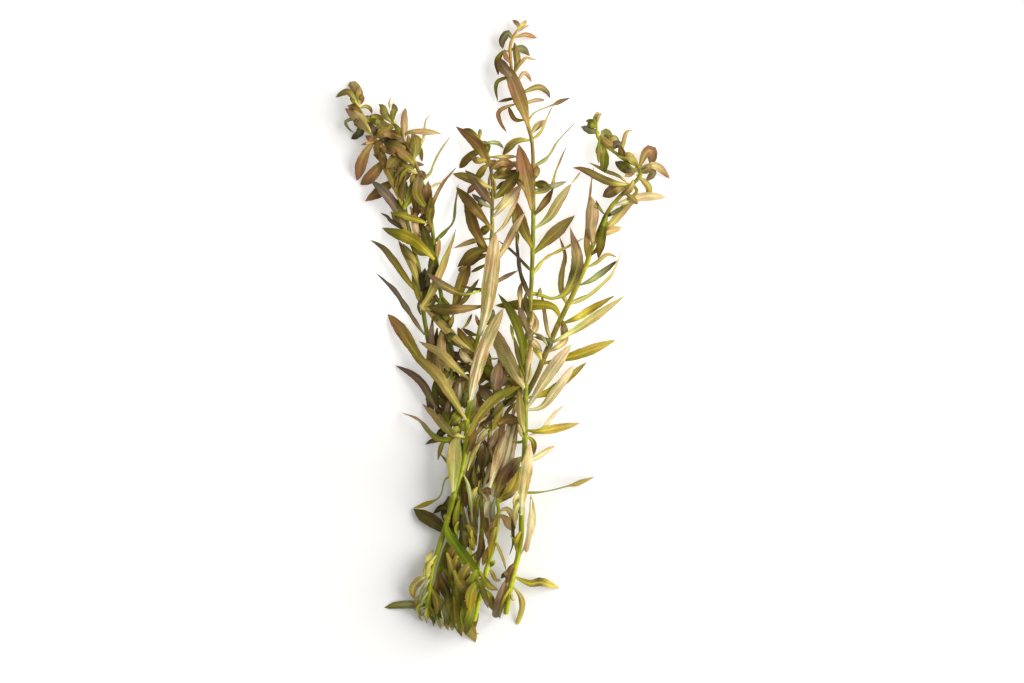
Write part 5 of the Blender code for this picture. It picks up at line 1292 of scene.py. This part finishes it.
def leafMaterial():
    # Living leaf: a thin waxy blade. Long pale streaks follow its fibres, partly painted highlight on
    # streaked leaves; a lighter midrib and faint side veins cross it, and its rim is a little darker.
    material, tree, shader = newMaterial("livingLeafBlade", {
        "Specular IOR Level": leafLook["gloss"],
        "Specular Tint": leafLook["glossTint"],
    })
    tint = addNode(tree, "ShaderNodeAttribute", [], take="Color", attribute_name="tint")
    ribTint = addNode(tree, "ShaderNodeAttribute", [], take="Color", attribute_name="rib")
    vein = addNode(tree, "ShaderNodeAttribute", [], take="Vector", attribute_name="vein")
    form = addNode(tree, "ShaderNodeAttribute", [], take="Vector", attribute_name="form")
    across, along, _ = addNode(tree, "ShaderNodeSeparateXYZ", [vein]).node.outputs
    toRim, toTip, streaked = addNode(tree, "ShaderNodeSeparateXYZ", [form]).node.outputs

    # noise on the blade's own grid
    noise = []
    for name in ("fibre", "streak", "flush", "blotch", "speck"):
        wide, long, detail, roughness = leafLook[name]
        scale = (1 / wide, 1 / long, 1.0)
        place = addNode(tree, "ShaderNodeVectorMath", [vein, scale], operation="MULTIPLY")
        noise.append(addNode(tree, "ShaderNodeTexNoise", [place, 1.0, detail, roughness]))
    fibres, streaks, flush, blotches, specks = noise

    # side veins leave the midrib at a slant: a sine of the way along less 1.3 times the way out
    outward = addNode(tree, "ShaderNodeMath", [across], operation="ABSOLUTE")
    slope, apart = leafLook["veinSlant"], leafLook["veinApart"]
    slant = addNode(tree, "ShaderNodeMath", [outward, slope, along], operation="MULTIPLY_ADD")
    turns = addNode(tree, "ShaderNodeMath", [slant, 2 * math.pi / apart], operation="MULTIPLY")
    comb = addNode(tree, "ShaderNodeMath", [turns], operation="SINE")
    sideVeins = addNode(tree, "ShaderNodeMapRange", [comb, *leafLook["comb"]])
    slanting = addNode(tree, "ShaderNodeMath", [sideVeins, leafLook["veinShare"]], operation="MULTIPLY")

    # the midrib and the paler band beside it fade towards the tip
    fade = addNode(tree, "ShaderNodeMapRange", [toTip, *leafLook["ribFade"]])
    width, share = leafLook["ribWidth"], leafLook["ribShare"]
    rib = addNode(tree, "ShaderNodeMapRange", [outward, 0.35 * width, width, share, 0.0])
    rib = addNode(tree, "ShaderNodeMath", [rib, fade], operation="MULTIPLY")
    width, share = leafLook["bandWidth"], leafLook["bandShare"]
    band = addNode(tree, "ShaderNodeMapRange", [outward, 0.0, width, share, 0.0])
    band = addNode(tree, "ShaderNodeMath", [band, fade], operation="MULTIPLY")
    # pale streaks on streaked leaves, partly whitish tissue and partly painted highlight
    streak = addNode(tree, "ShaderNodeMapRange", [streaks, *leafLook["paleStreakAndSheen"]])
    streak = addNode(tree, "ShaderNodeMath", [streak, streaked], operation="MULTIPLY")

    # the fibres and streaks make the blade darker and lighter, and its patches greener and redder
    fibreTone = addNode(tree, "ShaderNodeMapRange", [fibres, *leafLook["fibreTone"]])
    streakTone = addNode(tree, "ShaderNodeMapRange", [streaks, *leafLook["streakTone"]])
    redder = addNode(tree, "ShaderNodeMapRange", [flush, *leafLook["redder"]])
    cast = addNode(tree, "ShaderNodeMix", [redder, *leafLook["cast"]], data_type="RGBA")
    colour = tint
    for tone in (fibreTone, streakTone, cast):
        colour = addNode(tree, "ShaderNodeMix", [1.0, colour, tone], **multiplied)
    for share in (streak, slanting, band, rib):
        colour = addNode(tree, "ShaderNodeMix", [share, colour, ribTint], data_type="RGBA")
    for value, name in ((blotches, "faded"), (toRim, "rim"), (specks, "specks")):
        low, high, strength, loss = leafLook[name]
        share = addNode(tree, "ShaderNodeMapRange", [value, low, high, 0.0, strength])
        colour = addNode(tree, "ShaderNodeMix", [share, colour, loss], **multiplied)
    tree.links.new(colour, shader.inputs["Base Color"])

    rough = addNode(tree, "ShaderNodeMapRange", [blotches, *leafLook["roughness"]])
    tree.links.new(rough, shader.inputs["Roughness"])
    veinRelief, (strength, height) = leafLook["veinRelief"], leafLook["relief"]
    relief = addNode(tree, "ShaderNodeMath", [sideVeins, veinRelief, fibres], operation="MULTIPLY_ADD")
    bump = addNode(tree, "ShaderNodeBump", {"Height": relief, "Strength": strength, "Distance": height})
    tree.links.new(bump, shader.inputs["Normal"])
    return material


stemLook = {
    "fibre": (0.42, 5.0),  # millimetres round and along
    "blotch": 3.3,
    "fibreTone": (0.3, 0.7, 0.76, 1.18),  # from low to high, with what those two give
    # where it starts and is full, how strong it is, and what it leaves of the colour
    "faded": (0.5, 0.75, 0.45, (1.0, 0.72, 0.5, 1)),
    "roughness": 0.36,
    "gloss": 0.26,
    "glossTint": (1.0, 0.95, 0.7, 1),
    "relief": (0.4, 0.00015),
}


def stemMaterial():
    # Living stem: smooth and juicy skin with fine lengthwise fibres, and browner where it is older.
    material, tree, shader = newMaterial("livingStemSkin", {
        "Roughness": stemLook["roughness"],
        "Specular IOR Level": stemLook["gloss"],
        "Specular Tint": stemLook["glossTint"],
    })
    tint = addNode(tree, "ShaderNodeAttribute", [], take="Color", attribute_name="tint")
    vein = addNode(tree, "ShaderNodeAttribute", [], take="Vector", attribute_name="vein")
    scale = (1 / stemLook["fibre"][0], 1 / stemLook["fibre"][1], 1.0)
    place = addNode(tree, "ShaderNodeVectorMath", [vein, scale], operation="MULTIPLY")
    fibres = addNode(tree, "ShaderNodeTexNoise", [place, 1.0, 3.0])
    blotches = addNode(tree, "ShaderNodeTexNoise", [vein, 1 / stemLook["blotch"], 4.0])
    tone = addNode(tree, "ShaderNodeMapRange", [fibres, *stemLook["fibreTone"]])
    low, high, strength, loss = stemLook["faded"]
    faded = addNode(tree, "ShaderNodeMapRange", [blotches, low, high, 0.0, strength])
    colour = tint
    for share, change in ((1.0, tone), (faded, loss)):
        colour = addNode(tree, "ShaderNodeMix", [share, colour, change], **multiplied)
    tree.links.new(colour, shader.inputs["Base Color"])
    strength, height = stemLook["relief"]
    bump = addNode(tree, "ShaderNodeBump", {"Height": fibres, "Strength": strength, "Distance": height})
    tree.links.new(bump, shader.inputs["Normal"])
    return material


# Putting the bunch together

leafSkin = leafMaterial()
stemSkin = stemMaterial()
slotOf = {row["node"]: row["material_slot"] for row in frame["record"]["subparts"]}
for stemName, stem in stems.items():
    stations, heights, shares = layStem(stem)
    line = (stations, heights)
    rows = fillingLeaves[stemName]
    turn = rows.index("over")
    feet = [np.array(row[2], float) for row in (*grownLeaves[stemName], *ownLeaves[stemName])]
    bodyMesh(f"{stem['node']}_skin", [stemBlock(stem, heights, shares, feet)], stemSkin,
             slotOf[stem["node"]], stem["node"])
    blocks = [layLeaf(row, number, line, "filling") for number, row in enumerate(rows[:turn], 1)]
    blocks += [layLeaf(row, number, line, "grown") for number, row in enumerate(grownLeaves[stemName], 1)]
    for number, row in enumerate(ownLeaves[stemName], 1):
        node = f"leaf_{stemName}_{number:02d}"
        bodyMesh(f"{node}_blade", [layLeaf(row, number, line, "own")], leafSkin, slotOf[node], node)
    blocks += [layLeaf(row, number, line, "filling") for number, row in enumerate(rows[turn + 1:], 1)]
    bodyMesh(f"{stem['node']}_small_leaves", blocks, leafSkin, "leaf_olive", stem["node"])
    print("laid", stem["node"], "with", len(blocks), "small leaves")


# Table, light and camera

tableTop = {
    "size": 8.0,  # in metres, as are the place and reach of the table's painted glow
    "colour": "#f4f3f1",
    "roughness": 0.7,
    "gloss": 0.2,
    "paintedGlow": (0.5, 0.03),  # painted glow: how strongly the table emits at its middle and far from it
    "lamp": (0.005, 0.035, 0),  # the middle of the painted glow, under the tips of the stems
    "paintedGlowReach": (0.03, 0.12),
}


def makeTable():
    # a sheet of opal acrylic: matt and white, with a painted glow: the table emits light itself,
    # most round one point in the bunch and fading away from it, which keeps the gaps in the bunch bright
    half = tableTop["size"] / 2
    corners = [(-half, -half, 0), (half, -half, 0), (half, half, 0), (-half, half, 0)]
    mesh = bpy.data.meshes.new("table_top")
    mesh.from_pydata(corners, [], [(0, 1, 2, 3)])
    material, tree, shader = newMaterial("opalAcrylicPaintedGlow", {
        "Base Color": (*linear(tableTop["colour"]), 1),
        "Roughness": tableTop["roughness"],
        "Specular IOR Level": tableTop["gloss"],
        "Emission Color": (1, 1, 1, 1),
    })
    # painted glow: the table's emission is strongest round one point and fades with distance from it
    place = addNode(tree, "ShaderNodeTexCoord", [], take="Object")
    away = addNode(tree, "ShaderNodeVectorMath", [place, tableTop["lamp"]], take="Value",
                   operation="DISTANCE")
    paintedGlow = addNode(tree, "ShaderNodeMapRange", [away, *tableTop["paintedGlowReach"], *tableTop["paintedGlow"]],
                   interpolation_type="SMOOTHSTEP")
    tree.links.new(paintedGlow, shader.inputs["Emission Strength"])
    mesh.materials.append(material)
    table = bpy.data.objects.new("table_top", mesh)
    bpy.context.scene.collection.objects.link(table)


lighting = {
    "keyStrength": 4.5,
    "keyAngle": 64.0,  # how wide the key light looks from the table, in degrees
    "keyElevation": 28.0,
    "keyTowards": 12.0,  # from the right, a little from the tips
    "fill": 0.48,
    "fillColour": (1.0, 0.99, 0.975, 1),
}


def makeLight():
    # a wide soft key from the right, and an even white room that fills the shadows
    sun = bpy.data.lights.new("key", "SUN")
    sun.energy = lighting["keyStrength"]
    sun.angle = math.radians(lighting["keyAngle"])
    lamp = bpy.data.objects.new("key", sun)
    lamp.rotation_mode = "XYZ"
    tilt, turn = 90 - lighting["keyElevation"], lighting["keyTowards"]
    lamp.rotation_euler = (0, math.radians(tilt), math.radians(turn))
    bpy.context.scene.collection.objects.link(lamp)
    world = bpy.data.worlds.new("white room")
    world.use_nodes = True
    room = world.node_tree.nodes["Background"]
    room.inputs["Color"].default_value = lighting["fillColour"]
    room.inputs["Strength"].default_value = lighting["fill"]
    bpy.context.scene.world = world
    bpy.context.scene.view_settings.view_transform = "Standard"


viewpoint = {
    "middle": (3.81, -4.36),  # the point under the camera, in millimetres from the part's origin
    "frameWidth": 431.6,  # how much of the table the picture is wide, in millimetres
    "lens": 300.0,
    "sensor": 36.0,
}


def makeCamera():
    camera = bpy.data.cameras.new("camera")
    camera.lens = viewpoint["lens"]
    camera.sensor_width = viewpoint["sensor"]
    away = viewpoint["frameWidth"] * plan["mm"] * viewpoint["lens"] / viewpoint["sensor"]
    camera.clip_start, camera.clip_end = 0.1, 3 * away
    holder = bpy.data.objects.new("camera", camera)
    x, y = viewpoint["middle"]
    holder.location = (x * plan["mm"], y * plan["mm"], away)
    bpy.context.scene.collection.objects.link(holder)
    bpy.context.scene.camera = holder


makeTable()
makeLight()
makeCamera()
print("table, light and camera are in place")
